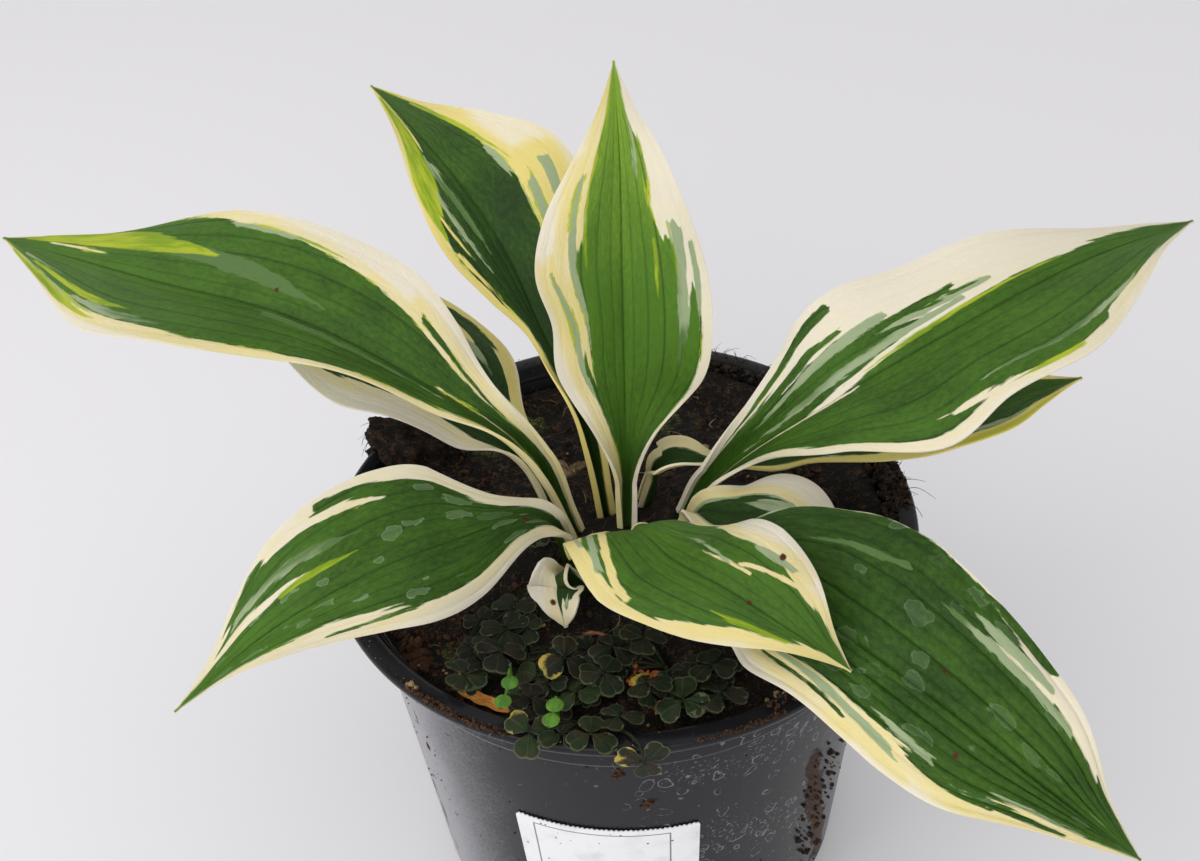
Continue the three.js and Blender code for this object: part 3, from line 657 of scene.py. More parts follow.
@dataclass(frozen=True)
class LeafFinish:
    """A living hosta leaf, grown.

    The skin is satin: broad soft highlights, broken by sunken veins. The centre is green; painted
    shade darkens it along the sunken veins, and painted light and shade lighten or darken each
    leaf's green by its own amounts from stalk to tip, mixed with patches of the leaf's own tone.
    The margin is cream where the leaf has no green in it, and a thin layer of grey-green shows
    where the two overlap in torn streaks along the veins.
    """

    dark_green: str = "#1b350d"
    green: str = "#4c7420"
    fresh_and_lit_green: str = "#8fb03a"
    grey_green: str = "#97a580"
    grey_dark: str = "#587440"
    lime: str = "#aab52e"
    lime_deep: str = "#7d981c"
    yellow: str = "#dccf58"
    cream: str = "#e0d8c4"
    gold: str = "#dccb7c"
    brown: str = "#4c2416"
    scale: str = "#8aa27c"

    def build(self, name: str, seed: float, rings: float, lime_edge: float) -> Material:
        """Builds the material for one leaf.

        Args:
            name: the leaf's name.
            seed: moves the random patterns, so that no two leaves match.
            rings: how strong the pale rings of dried hard water are.
            lime_edge: how much of the cream's edge is lined with lime.

        Returns:
            The material.
        """
        # One unit of the map is 100 mm, so torn streaks are about 8 by 1.5 mm, fine ones 3 by 0.4 mm,
        # broad patches 25 by 11 mm, crinkles 2.4 by 1.3 mm and speckles 0.3 mm
        look = Recipe(
            f"living_hosta_leaf_{name}", ("cream", "grey", "lime", "gold", "spots", "vein", "bright"),
            {
                "torn": (1.0, 3.0, 0.55, (12.0, 70.0, 1.0)), "fine": (1.0, 2.0, 0.55, (30.0, 240.0, 1.0)),
                "broad": (1.0, 2.0, 0.55, (4.0, 9.0, 1.0)),
                "speckle": (1.0, 2.0, 0.55, (300.0, 420.0, 1.0)),
                "crinkle": (1.0, 4.0, 0.55, (42.0, 75.0, 1.0)),
            },
            "veins", (seed * 3.1, seed * 1.7, 0.0))
        wander = look.summed(("torn", 1.1), ("fine", 0.5))
        tears = {
            key: add_node(look.tree, "Math", {"operation": "ADD", 0: look.of[key], 1: reach})
            for key, reach in (
                ("cream", wander), ("grey", look.summed(("torn", 2.6), ("fine", 0.9))), ("lime", wander),
                ("spots", look.of["fine"]))
        }
        # Painted light and shade: the mark "bright" lightens or darkens the green for how light falls on each
        # leaf, mixed with patches, crinkles and speckles of its own tone
        painted_light_and_tone = look.summed(("bright", 1.0), ("broad", 0.8), ("crinkle", 0.8), ("speckle", 0.6))
        # The green runs from dark to light with that painted light, and painted shade darkens it along the
        # sunken veins
        green = look.layered(
            self.dark_green, (self.green, painted_light_and_tone, -0.6, 0.6), (self.fresh_and_lit_green, painted_light_and_tone, 0.5, 1.7, 0.75),
            (self.dark_green, "vein", 0.3, 1.0, 0.6), (self.grey_dark, "speckle", 0.5, 0.8, 0.22))
        if rings > 0:
            green = self.ringed(look, green, rings)
        thinned = look.share("cream", -7.0, -0.5)
        grey = look.layered(
            self.grey_dark,
            (self.grey_green, ((thinned, 0.9), ("broad", 0.8), ("torn", 0.6)), -0.25, 0.4))
        lime = look.layered(
            self.lime_deep, (self.lime, (("broad", 1.0), ("torn", 0.5)), -0.15, 0.15),
            (self.yellow, "gold", 0.75, 1.0))
        inner = look.share("cream", 6.0, 2.5)
        cream = look.layered(
            self.cream,
            (self.gold, (("gold", 1.2), (inner, 0.5), ("torn", 0.35), ("broad", 0.4)), -0.4, 0.4))
        fringe = look.share((("broad", 2.0), ("fine", 1.5)), 0.5 - lime_edge, 0.75 - lime_edge)
        from_edge = add_node(look.tree, "Math", {"operation": "ABSOLUTE", 0: tears["cream"]})
        lined = add_node(look.tree, "Math", {
            "operation": "MULTIPLY", 0: fringe, 1: look.share(from_edge, 0.6, 0.3)})
        colour = look.layered(
            green, (grey, tears["grey"], -0.2, 0.2), (cream, tears["cream"], -0.2, 0.2),
            (lime, tears["lime"], -0.35, 0.35), (lime, lined), (self.dark_green, "speckle", 0.55, 0.8, 0.08),
            (self.brown, tears["spots"], -0.3, 0.3))
        height = look.summed(("speckle", 0.5), ("fine", 0.7), ("crinkle", 1.2))
        return look.finish(colour, (0.5, 0.0005, height), {
            "Roughness": 0.46, "Subsurface Weight": 0.25, "Subsurface Scale": 0.0025,
            "Subsurface Radius": (0.8, 1.0, 0.35), "IOR": 1.42, "Specular IOR Level": 0.2})

    def ringed(self, look: Recipe, green: Socket, strength: float) -> Socket:
        """Adds thin pale patches, 3 to 10 mm long, left by drops of hard water.

        Args:
            look: the leaf's material.
            green: the colour that they lie on.
            strength: how much they cover it.

        Returns:
            The colour with them.
        """
        off, away, number = look.drop_marks(26.0, 2.0, (0.07, 0.04, 0.0), (8.0, 16.0, 1.0), 0.11)
        film = look.summed(
            (look.share(away, 0.03, 0.0), strength * 0.75), (look.share(off, 0.04, -0.04), strength * 0.4))
        lifted = add_node(
            look.tree, "Math", {"operation": "ADD", "use_clamp": True, 0: film, 1: strength * 0.575})
        left = add_node(look.tree, "Math", {
            "operation": "MULTIPLY", 0: lifted, 1: look.share(number, 0.3, 0.4)})
        return look.layered(green, (self.scale, left))


@dataclass(frozen=True)
class Leaf:
    """One hosta leaf with its stalk, grown as one piece."""

    name: str
    shape: LeafShape
    marking: LeafMarking
    seed: float
    # Painted light and shade: how far the green is lightened at the stalk and at the tip, for how the light
    # falls on each leaf
    painted_light: Pair = (0.4, 0.6)
    veins: float = 5.6
    relief: float = 0.2
    vein_crowding: float = 0.85
    vein_sharpness: float = 2.4
    midrib_width: float = 0.022
    full_relief_from: float = 14.0
    rows: int = 150
    columns: int = 96
    blade_thickness: float = 0.8
    stalk_thickness: float = 1.8

    def build(self, finish: LeafFinish) -> Piece:
        """Builds the leaf and its finish.

        Args:
            finish: the living leaf's colours.

        Returns:
            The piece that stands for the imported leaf.
        """
        sheet = bmesh.new()
        bmesh.ops.create_grid(sheet, x_segments=self.columns, y_segments=self.rows, size=1.0)
        flat = np.array([vert.co for vert in sheet.verts])
        across = flat[:, 0]
        last = len(self.shape.rib)
        u = (flat[:, 1] + 1) / 2 * last
        sections = self.shape.sections(u, across)
        grooves = self.grooves(across)
        strength = smooth_step((u - 0.7) / 1.0) * smooth_step((last - u) / 0.6)
        sunk = self.relief * grooves * strength * np.minimum(1, sections.width / self.full_relief_from)
        upper = sections.points - sections.outward * sunk[:, None]
        thickness = self.blade_thickness + (self.stalk_thickness - self.blade_thickness) * (
            1 - smooth_step(u - 0.6)
        )
        lower = upper - sections.outward * thickness[:, None]
        length = self.shape.length()
        fields = self.marking.fields(u, across, sections, length, int(self.seed))
        # The veins' groove depth, which the finish also paints dark as shade in the grooves
        fields["vein"] = grooves * strength
        # Painted light and shade, ramped from the stalk to the tip
        fields["bright"] = self.painted_light[0] + (self.painted_light[1] - self.painted_light[0]) * sections.blade
        self.store(sheet, fields, np.column_stack(((u - 1) / (last - 1) * length * MAP_UNIT, across * 0.3)))
        self.thicken(sheet, upper, lower)
        material = finish.build(self.name, self.seed, self.marking.scale_rings, self.marking.lime_edge)
        return finish_piece(self.name + "_grown", sheet, material, [self.name])

    def grooves(self, across: np.ndarray) -> np.ndarray:
        """How deep in a vein's groove each place is, from 0 between veins to 1 on one."""
        between = np.abs(np.sin(np.pi * np.abs(across) ** self.vein_crowding * self.veins))
        midrib = np.exp(-((across / self.midrib_width) ** 2))
        return np.maximum((1 - between) ** self.vein_sharpness, midrib)

    def store(self, sheet: Mesh, fields: Mapping[str, np.ndarray], map_places: np.ndarray) -> None:
        """Writes the marking and the map along the veins onto the flat grid.

        Args:
            sheet: the flat grid.
            fields: one array for each mark.
            map_places: the map's places.
        """
        layers = {key: sheet.verts.layers.float.new(key) for key in fields}
        number = sheet.verts.layers.int.new("grid_number")
        for index, vert in enumerate(sheet.verts):
            vert[number] = index
            for key, layer in layers.items():
                vert[layer] = float(fields[key][index])
        uv = sheet.loops.layers.uv.new("veins")
        for face in sheet.faces:
            for loop in face.loops:
                loop[uv].uv = map_places[loop.vert.index]

    def thicken(self, sheet: Mesh, upper: np.ndarray, lower: np.ndarray) -> None:
        """Makes the flat grid a closed leaf.

        Args:
            sheet: the grid.
            upper: its upper points.
            lower: its lower points.
        """
        number = sheet.verts.layers.int["grid_number"]
        grown = bmesh.ops.extrude_face_region(sheet, geom=list(sheet.faces), use_keep_orig=True)
        raised = {item for item in grown["geom"] if isinstance(item, bmesh.types.BMVert)}
        for vert in sheet.verts:
            place = upper if vert in raised else lower
            vert.co = place[vert[number]]
        sheet.verts.layers.int.remove(number)


def half(
    half_width: Sequence[float], fold: float | Triple, edge: float | Triple, wave: Triple, lobe: float = 0.0
) -> HalfBlade:
    """Makes one side of a leaf; a single slope holds for its whole length."""
    slopes = [angle if isinstance(angle, tuple) else (angle,) * 3 for angle in (fold, edge)]
    return HalfBlade(half_width, slopes[0], slopes[1], wave, lobe)


def streaks(*rows: tuple[LeafColour, float, float, float, float, float]) -> tuple[Streak, ...]:
    """Makes a leaf's streaks from rows of colour, start, end and half width."""
    return tuple(Streak(colour, (s0, a0), (s1, a1), wide) for colour, s0, a0, s1, a1, wide in rows)


GREEN, GREY, LIME, CREAM = LeafColour.GREEN, LeafColour.GREY, LeafColour.LIME, LeafColour.CREAM


def hosta_leaves() -> Iterator[Leaf]:
    """The plant's twelve leaves."""
    yield Leaf(
        "upright_leaf",
        LeafShape(
            (1, -3), ((2, 6, 160), (3, 13, 198), (4, 18, 233), (5, 28, 262), (5, 50, 284)), (0, 0, 0),
            half((5, 11, 21, 22, 26, 23, 15, 6, 0), 22, 2, (1.6, 2.2, 0.1)),
            half((5, 12, 25, 28, 26, 21, 14, 6, 0), 22, 2, (1.6, 2.4, 0.5)),
        ),
        LeafMarking(
            (0.35, 0.5, 0.57, 0.52, 0.56, 0.46, 0.51, 0.53, 0.75),
            (0.85, 0.93, 0.89, 0.88, 0.8, 0.45, 0.52, 0.44, 0.75),
            streaks(
                (GREY, 1.0, -0.48, 3.9, -0.79, 0.045), (CREAM, 1.9, -0.45, 3.2, -0.6, 0.045),
                (GREY, 2.4, -0.46, 5.8, -0.67, 0.045), (GREEN, 3.0, 0.47, 4.4, 0.47, 0.05),
                (GREEN, 3.0, 0.58, 4.6, 0.6, 0.05), (GREY, 2.2, 0.66, 4.9, 0.76, 0.07),
                (CREAM, 3.3, 0.75, 4.6, 0.83, 0.025), (GREY, 3.0, 0.86, 4.5, 0.89, 0.035),
                (GREEN, 5.0, 0.42, 6.5, 0.54, 0.05), (GREY, 5.6, 0.3, 6.6, 0.42, 0.04),
                (LIME, 3.9, -0.4, 5.7, -0.5, 0.02), (LIME, 5.0, -0.49, 7.3, -0.51, 0.025),
                (LIME, 3.4, 0.42, 4.5, 0.43, 0.02), (LIME, 3.6, 0.655, 4.9, 0.66, 0.015),
            ),
            gold=(0.4, 0.05), lime_edge=0.42,
        ),
        seed=1.0, painted_light=(0.35, 2.0),
    )
    yield Leaf(
        "long_left_leaf",
        LeafShape(
            (-12, 2), ((-28, 0, 176), (-58, 7, 202), (-99, 27, 216), (-151, 53, 217), (-215, 100, 208)),
            (16, 18, 8),
            half((7, 8, 10, 16, 22, 30, 30, 15, 0), (42, 32, 18), (28, 12, -5), (2, 3.5, 0)),
            half((7, 10, 21, 30, 33, 32, 26, 11, 0), 20, 0, (1.5, 3, 0.3)),
        ),
        LeafMarking(
            (0.72, 0.75, 0.84, 0.9, 0.88, 0.86, 0.76, 0.8, 0.8),
            (0.62, 0.46, 0.47, 0.61, 0.73, 0.83, 0.97, 1.02, 0.8),
            streaks(
                (LIME, 5.6, -0.57, 7.3, -0.66, 0.045), (LIME, 6.0, -0.84, 7.7, -0.92, 0.08),
                (GREY, 5.0, -0.73, 6.3, -0.69, 0.05), (GREY, 6.7, -0.5, 7.5, -0.6, 0.03),
                (GREY, 5.8, -0.76, 7.4, -0.8, 0.02), (GREY, 1.6, -0.26, 4.4, -0.14, 0.055),
                (GREY, 3.7, 0.18, 5.9, 0.47, 0.085), (LIME, 5.3, 0.42, 7.7, 0.74, 0.16),
                (LIME, 5.9, 0.62, 7.5, 0.98, 0.15), (CREAM, 6.6, 0.28, 7.4, 0.48, 0.04),
                (GREEN, 0.0, 0.38, 2.5, 0.66, 0.05), (LIME, 3.5, 0.72, 5.0, 0.84, 0.015),
                (GREY, 4.2, 0.76, 5.2, 0.82, 0.03), (CREAM, -1.0, 0.03, 1.8, 0.05, 0.012),
            ),
            gold=(0.35, 0.3), lime_edge=0.4, brown_spots=((4.35, 0.2, 0.5),),
        ),
        seed=2.0, painted_light=(0.3, 0.85),
    )
    yield Leaf(
        "lower_left_leaf",
        LeafShape(
            (-19, 9), ((-30, 15, 158), (-49, 29, 170), (-71, 50, 178), (-98, 74, 180), (-129, 105, 174)),
            (0, 0, 0),
            half((6, 9, 14, 22, 29, 30, 24, 11, 0), 15, -5, (1.5, 3, 0.2)),
            half((6, 13, 24, 31, 33, 31, 24, 10, 0), 15, -5, (1.5, 2.5, 0.6)),
        ),
        LeafMarking(
            (0.65, 0.6, 0.5, 0.52, 0.62, 0.74, 0.8, 0.8, 0.7),
            (0.7, 0.68, 0.78, 0.86, 0.93, 0.92, 0.9, 0.85, 0.7),
            streaks((GREY, 2.5, 0.62, 4.5, 0.74, 0.05), (CREAM, 3.2, 0.7, 5.0, 0.84, 0.04)),
            gold=(0.25, 0.5),
        ),
        seed=3.0, painted_light=(0.0, 0.4),
    )
    yield Leaf(
        "back_left_leaf",
        LeafShape(
            (-5, 10), ((-10, 12, 178), (-22, 26, 206), (-33, 44, 227), (-52, 76, 240), (-81, 131, 243)),
            (17, 24, 27),
            half((5, 5, 5, 12, 17, 17, 13, 5, 0), (32, 26, 20), (20, 10, 0), (1.5, 2.5, 0)),
            half((5, 9, 18, 25, 32, 34, 22, 10, 0), 20, 0, (2, 2.5, 0.4)),
        ),
        LeafMarking(
            (0.7, 0.72, 0.68, 0.8, 0.86, 0.8, 0.5, 0.18, 0.0),
            (0.75, 0.62, 0.5, 0.45, 0.45, 0.47, 0.56, 0.78, 0.85),
            streaks(
                (CREAM, 2.9, -0.72, 4.3, -0.82, 0.035), (CREAM, 3.9, -0.62, 5.6, -0.78, 0.03),
                (GREY, 3.6, -0.48, 5.7, -0.57, 0.05), (GREEN, 4.0, -0.42, 5.8, -0.44, 0.02),
                (GREY, 4.0, -0.27, 6.2, -0.33, 0.07), (LIME, 4.6, -0.84, 7.7, -0.42, 0.26),
                (GREY, 3.4, 0.52, 4.8, 0.56, 0.05), (GREY, 3.8, 0.72, 4.9, 0.77, 0.05),
                (GREY, 5.0, 0.44, 5.8, 0.52, 0.035), (LIME, 5.3, 0.55, 7.2, 0.72, 0.04),
            ),
            gold=(0.72, 0.55), lime_edge=0.4,
        ),
        seed=4.0, painted_light=(-0.2, 0.5),
    )
    yield Leaf(
        "long_right_leaf",
        LeafShape(
            (12, 7), ((32, 4, 160), (63, -13, 202), (98, -6, 220), (140, 14, 228), (185, 43, 222)),
            (-20, -19, -8),
            half((7, 13, 26, 29, 26, 22, 15, 6, 0), 20, 0, (1.6, 3.2, 0.2)),
            half((6, 7, 18, 33, 30, 31, 22, 9, 0), 20, 0, (2, 3, 0.6)),
        ),
        LeafMarking(
            (0.74, 0.7, 0.62, 0.38, 0.22, 0.27, 0.34, 0.72, 0.8),
            (0.82, 0.76, 0.87, 0.89, 0.86, 0.86, 0.76, 0.8, 0.8),
            streaks(
                (GREEN, 0.4, -0.76, 2.7, -0.86, 0.06), (CREAM, 0.9, -0.66, 2.9, -0.71, 0.045),
                (GREEN, 0.9, -0.55, 2.6, -0.57, 0.035), (CREAM, 1.4, -0.5, 3.0, -0.54, 0.02),
                (GREY, 0.9, -0.4, 3.3, -0.49, 0.055), (GREEN, 2.0, -0.3, 4.35, -0.48, 0.05),
                (GREY, 3.0, -0.34, 4.75, -0.38, 0.04), (GREEN, 3.4, -0.36, 4.6, -0.41, 0.02),
                (GREY, 0.6, -0.12, 4.3, -0.27, 0.05), (CREAM, -0.6, 0.1, 2.4, 0.03, 0.02),
                (CREAM, 0.6, 0.1, 4.7, -0.27, 0.032), (LIME, 2.3, -0.06, 5.7, -0.27, 0.022),
                (CREAM, 3.0, 0.74, 4.2, 0.88, 0.03), (GREEN, 3.8, 0.84, 5.6, 0.81, 0.05),
                (LIME, 4.0, 0.9, 5.0, 0.88, 0.025), (GREY, 3.8, 0.69, 6.3, 0.74, 0.03),
            ),
            gold=(0.0, 0.15), lime_edge=0.05,
        ),
        seed=5.0, painted_light=(0.45, 0.7),
    )
    yield Leaf(
        "lower_right_leaf",
        LeafShape(
            (20, 15), ((35, 14, 152), (59, 10, 166), (86, 4, 178), (114, 3, 186), (147, 12, 186)),
            (-10, -10, -10),
            half((7, 14, 20, 23, 23, 20, 14, 6, 0), 18, 0, (1.2, 2.5, 0)),
            half((6, 8, 9, 12, 15, 18, 16, 7, 0), 18, 0, (1.2, 2.5, 0.5)),
        ),
        LeafMarking(
            (0.7, 0.7, 0.7, 0.7, 0.7, 0.72, 0.7, 0.6, 0.6),
            (0.8, 0.8, 0.8, 0.82, 0.82, 0.8, 0.8, 0.72, 0.7),
            streaks((LIME, 4.6, 0.94, 7.4, 0.92, 0.09), (GREY, 5, 0.7, 6.6, 0.74, 0.05)),
            gold=(0.5, 0.9),
        ),
        seed=6.0, painted_light=(0.1, 0.5),
    )
    yield Leaf(
        "front_right_leaf",
        LeafShape(
            (13, -12),
            ((35, -45, 166), (58, -81, 176), (79, -102, 172), (102, -120, 160), (128, -131, 140)),
            (-30, -30, -25),
            half((8, 31, 36, 34, 31, 27, 21, 9, 0), 10, -20, (1.5, 2.5, 0.3), 6),
            half((8, 24, 22, 23, 24, 22, 14, 7, 0), 10, -25, (1.5, 2.5, 0.7), 6),
            opening=(0.8, 1.5),
        ),
        LeafMarking(
            (1.0, 1.0, 1.0, 0.98, 0.96, 0.84, 0.7, 0.84, 0.8),
            (0.7, 0.62, 0.57, 0.6, 0.6, 0.68, 0.6, 0.62, 0.75),
            streaks(
                (CREAM, 4.5, -0.85, 6.7, -0.8, 0.07), (GREY, 3.0, -0.64, 5.9, -0.7, 0.05),
                (GREY, 3.6, -0.76, 5.4, -0.8, 0.06), (CREAM, 3.9, -0.7, 5.4, -0.76, 0.02),
                (GREEN, 3.6, -0.97, 5.3, -0.97, 0.06), (GREY, 0.6, -0.6, 2.2, -0.71, 0.03),
                (GREEN, 0.8, 0.67, 2.8, 0.79, 0.03), (CREAM, 1.4, 0.62, 2.6, 0.68, 0.02),
                (GREY, 1.0, 0.58, 4.0, 0.75, 0.05), (GREEN, 3.8, 0.62, 5.6, 0.76, 0.05),
                (GREEN, 5.0, 0.62, 6.8, 0.84, 0.08), (GREY, 5.4, 0.52, 7.1, 0.6, 0.04),
                (GREY, 3.2, 0.5, 4.6, 0.56, 0.04),
            ),
            gold=(0.1, 0.35), scale_rings=0.3, lime_edge=0.0,
            brown_spots=((3.78, -0.23, 0.35), (4.75, 0.36, 0.4)),
        ),
        seed=7.0, painted_light=(0.25, 0.45), veins=6.5, relief=0.75,
    )
    yield Leaf(
        "front_heart_leaf",
        LeafShape(
            (3, -15), ((3, -32, 172), (14, -55, 182), (28, -72, 186), (42, -85, 184), (58, -92, 174)),
            (8, -25, -25),
            half((7, 14, 25, 25, 24, 21, 16, 7, 0), 15, -30, (1.2, 2.5, 0.2), 4),
            half((19, 22, 24, 21, 17, 12, 7, 3, 0), (22, 15, 15), (-10, -35, -35), (1.2, 2, 0.5), 16),
            opening=(0.8, 1.05), flare_from=0.78,
        ),
        LeafMarking(
            (1.0, 1.0, 0.72, 0.6, 0.62, 0.62, 0.55, 0.72, 0.75),
            (0.8, 0.82, 0.8, 0.88, 0.72, 0.58, 0.54, 0.12, 0.0),
            streaks(
                (CREAM, 2.4, -0.25, 4.1, -0.29, 0.018), (CREAM, 3.4, -0.27, 5.7, -0.6, 0.035),
                (GREY, 3.6, -0.56, 5.3, -0.7, 0.05), (GREY, 0.9, -0.42, 3.4, -0.27, 0.02),
                (CREAM, -0.9, 0.3, 2.5, 0.8, 0.045), (GREY, -0.6, 0.5, 1.7, 0.8, 0.04),
                (CREAM, -0.8, 0.66, 1.3, 0.88, 0.035), (GREY, -0.6, 0.84, 1.1, 0.84, 0.025),
                (LIME, 3.9, 0.44, 6.2, 0.5, 0.07),
            ),
            gold=(0.35, 0.45), lime_edge=0.0, brown_spots=((4.6, -0.71, 0.6), (4.65, 0.0, 0.25)),
        ),
        seed=8.0, painted_light=(0.7, 0.6), relief=0.24,
    )
    yield Leaf(
        "front_left_leaf",
        LeafShape(
            (-16, -8),
            ((-24, -20, 168), (-49, -42, 182), (-74, -57, 184), (-102, -68, 174), (-129, -78, 156)),
            (30, 35, 30),
            half((5, 10, 19, 21, 18, 13, 8, 3, 0), (10, 5, 5), (-45, -45, -35), (1, 2.5, 0.1), 8),
            half((5, 9, 24, 28, 27, 23, 14, 5, 0), 12, -15, (1, 2.5, 0.6), 4),
            opening=(0.8, 1.3),
        ),
        LeafMarking(
            (0.5, 0.6, 0.67, 0.68, 0.62, 0.53, 0.6, 0.64, 0.7),
            (0.45, 0.6, 0.78, 0.84, 0.74, 0.8, 0.95, 0.55, 0.7),
            streaks(
                (GREEN, 2.6, -0.64, 5.1, -0.8, 0.035), (CREAM, 3.6, -0.58, 5.3, -0.66, 0.035),
                (CREAM, 2.9, 0.66, 4.6, 0.8, 0.035), (GREEN, 2.2, 0.76, 4.3, 0.9, 0.055),
                (GREY, 3.6, 0.43, 6.3, 0.66, 0.055), (CREAM, 4.8, 0.32, 7.7, 0.6, 0.08),
                (LIME, 4.0, 0.27, 5.5, 0.33, 0.035),
            ),
            gold=(0.2, 0.15), scale_rings=0.6, lime_edge=0.05, brown_spots=((0.55, -0.1, 0.5),),
        ),
        seed=9.0, painted_light=(0.2, 0.9), relief=0.24,
    )
    yield Leaf(
        "middle_right_leaf",
        LeafShape(
            (19, -5), ((24, -8, 154), (35, -15, 162), (50, -22, 165), (62, -31, 160), (73, -41, 150)),
            (-10, -10, -10),
            half((5, 8, 15, 18, 17, 14, 9, 4, 0), 12, -20, (1, 2, 0.2)),
            half((6, 12, 16, 18, 17, 14, 9, 4, 0), 12, -20, (1, 2, 0.7)),
        ),
        LeafMarking(
            (0.5, 0.5, 0.46, 0.42, 0.3, 0.0, 0.0, 0.0, 0.0),
            (0.6, 0.6, 0.5, 0.45, 0.48, 0.48, 0.35, 0.1, 0.0),
            streaks((CREAM, 3.4, 0.02, 6.5, -0.08, 0.12), (GREY, 2.4, -0.2, 4.4, -0.12, 0.12)),
            grey_band=1.0, gold=(0.35, 0.35),
        ),
        seed=10.0, painted_light=(0.0, 0.1), rows=100, columns=64, veins=4.0,
    )
    yield Leaf(
        "small_hanging_leaf",
        LeafShape(
            (-6, -18),
            ((-20, -34, 157), (-21, -38, 156), (-21, -41, 154), (-20, -44, 151), (-19, -46, 147)),
            (0, 0, 0),
            half((4, 7, 9, 9, 8, 8, 6, 3, 0), 25, 10, (0.5, 1.5, 0.2)),
            half((4, 8, 9, 8, 6, 5, 4, 2, 0), 25, 10, (0.5, 1.5, 0.7)),
        ),
        LeafMarking(
            (0.9, 0.9, 0.9, 0.85, 0.75, 0.5, 0.1, 0.0, 0.0),
            (0.0, 0.0, 0.0, 0.0, 0.0, 0.0, 0.0, 0.0, 0.0),
            streaks((CREAM, 4.0, -0.3, 7.0, -0.15, 0.12), (GREY, 3.6, -0.5, 5.4, -0.35, 0.1)),
            gold=(0.2, 0.25), brown_spots=((4.2, 0.25, 0.35),),
        ),
        seed=11.0, painted_light=(0.0, 0.0), rows=80, columns=48, veins=4.0, relief=0.2,
    )
    yield Leaf(
        "young_curled_leaf",
        LeafShape(
            (5, 15), ((11, 12, 154), (15, 10, 160), (21, 10, 162), (28, 11, 161), (35, 14, 158)),
            (0, 0, 0),
            half((3, 6, 9, 10, 9, 7, 5, 3, 0), 30, 50, (0.5, 2, 0)),
            half((3, 6, 9, 10, 9, 7, 5, 3, 0), 30, 50, (0.5, 2, 0.5)),
        ),
        LeafMarking(
            (0.55, 0.6, 0.62, 0.6, 0.55, 0.5, 0.4, 0.2, 0.0),
            (0.55, 0.6, 0.62, 0.6, 0.55, 0.5, 0.4, 0.2, 0.0),
            gold=(0.3, 0.3),
        ),
        seed=12.0, painted_light=(0.0, 0.1), rows=80, columns=48, veins=4.0, relief=0.2,
    )


@dataclass
class Draw:
    """Repeatable draws between 0 and 1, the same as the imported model's."""

    state: int = 7

    def __call__(self) -> float:
        """The next draw."""
        self.state = self.state * DRAW_FACTOR % DRAW_RANGE
        return self.state / DRAW_RANGE

    def between(self, low: float, high: float) -> float:
        """A draw between two numbers."""
        return low + (high - low) * self()


def add_loft(
    mesh_data: Mesh, sides: int, rows: int, shape: Shape, marks: Mapping[str, float | Shape] | None = None
) -> None:
    """Adds a closed skin: a grid rolled round into a tube and shut at both ends.

    Args:
        mesh_data: where the skin goes; it already has the layers that marks names.
        sides: faces round it.
        rows: faces along it.
        shape: gives the points for places round and along, each from 0 to 1.
        marks: values for the point layers, each a number or a function like shape.
    """
    grid = bmesh.ops.create_grid(mesh_data, x_segments=sides, y_segments=rows + 2, size=1.0)["verts"]
    flat = np.array([vert.co for vert in grid])
    around = (flat[:, 0] + 1) / 2
    steps = (flat[:, 1] + 1) / 2 * (rows + 2)
    along = np.clip((steps - 1) / rows, 0, 1)
    points = shape(around, along)
    for end in (steps < 0.5, steps > rows + 1.5):
        points[end] = points[end & (around < 0.999)].mean(axis=0)
    for vert, point in zip(grid, points):
        vert.co = point
    for name, mark in (marks or {}).items():
        layer = mesh_data.verts.layers.float[name]
        values = mark(around, along) if callable(mark) else np.full(len(grid), mark)
        for vert, value in zip(grid, values):
            vert[layer] = float(value)
    bmesh.ops.remove_doubles(mesh_data, verts=grid, dist=SAME_PLACE)


def join(target: Mesh, part: Mesh) -> None:
    """Moves the faces of one mesh into another.

    Args:
        target: the mesh that gets them.
        part: the mesh that they come from; it is freed.
    """
    spare = bpy.data.meshes.new("spare")
    part.to_mesh(spare)
    part.free()
    target.from_mesh(spare)
    bpy.data.meshes.remove(spare)


def tube_shape(path: Sequence[Sequence[float]], radii: Sequence[float]) -> Shape:
    """Makes the shape of a round tube for add_loft.

    Args:
        path: points that the tube's middle follows smoothly.
        radii: radii spread evenly along it.

    Returns:
        A function from places round and along to points.
    """
    middle = np.asarray(path, float)
    plane = np.cross(middle[len(middle) // 2] - middle[0], middle[-1] - middle[0])
    if np.linalg.norm(plane) < 1e-3:
        run = middle[-1] - middle[0]
        upright = abs(run[2]) >= np.linalg.norm(run) * 0.8
        plane = np.cross(run, (1.0, 0.0, 0.0) if upright else (0.0, 0.0, 1.0))
    plane /= np.linalg.norm(plane)

    def shape(around: np.ndarray, along: np.ndarray) -> np.ndarray:
        """Points on the tube."""
        place = along * (len(middle) - 1)
        centre = smooth_run(middle, place)
        run = smooth_run(middle, np.minimum(place + CURVE_STEP, len(middle) - 1))
        run -= smooth_run(middle, np.maximum(place - CURVE_STEP, 0))
        run /= np.linalg.norm(run, axis=1)[:, None]
        side = np.cross(run, plane)
        side /= np.linalg.norm(side, axis=1)[:, None]
        other = np.cross(run, side)
        radius = smooth_run(radii, along * (len(radii) - 1))
        angle = (2 * np.pi * around)[:, None]
        return centre + radius * (np.cos(angle) * side + np.sin(angle) * other)

    return shape


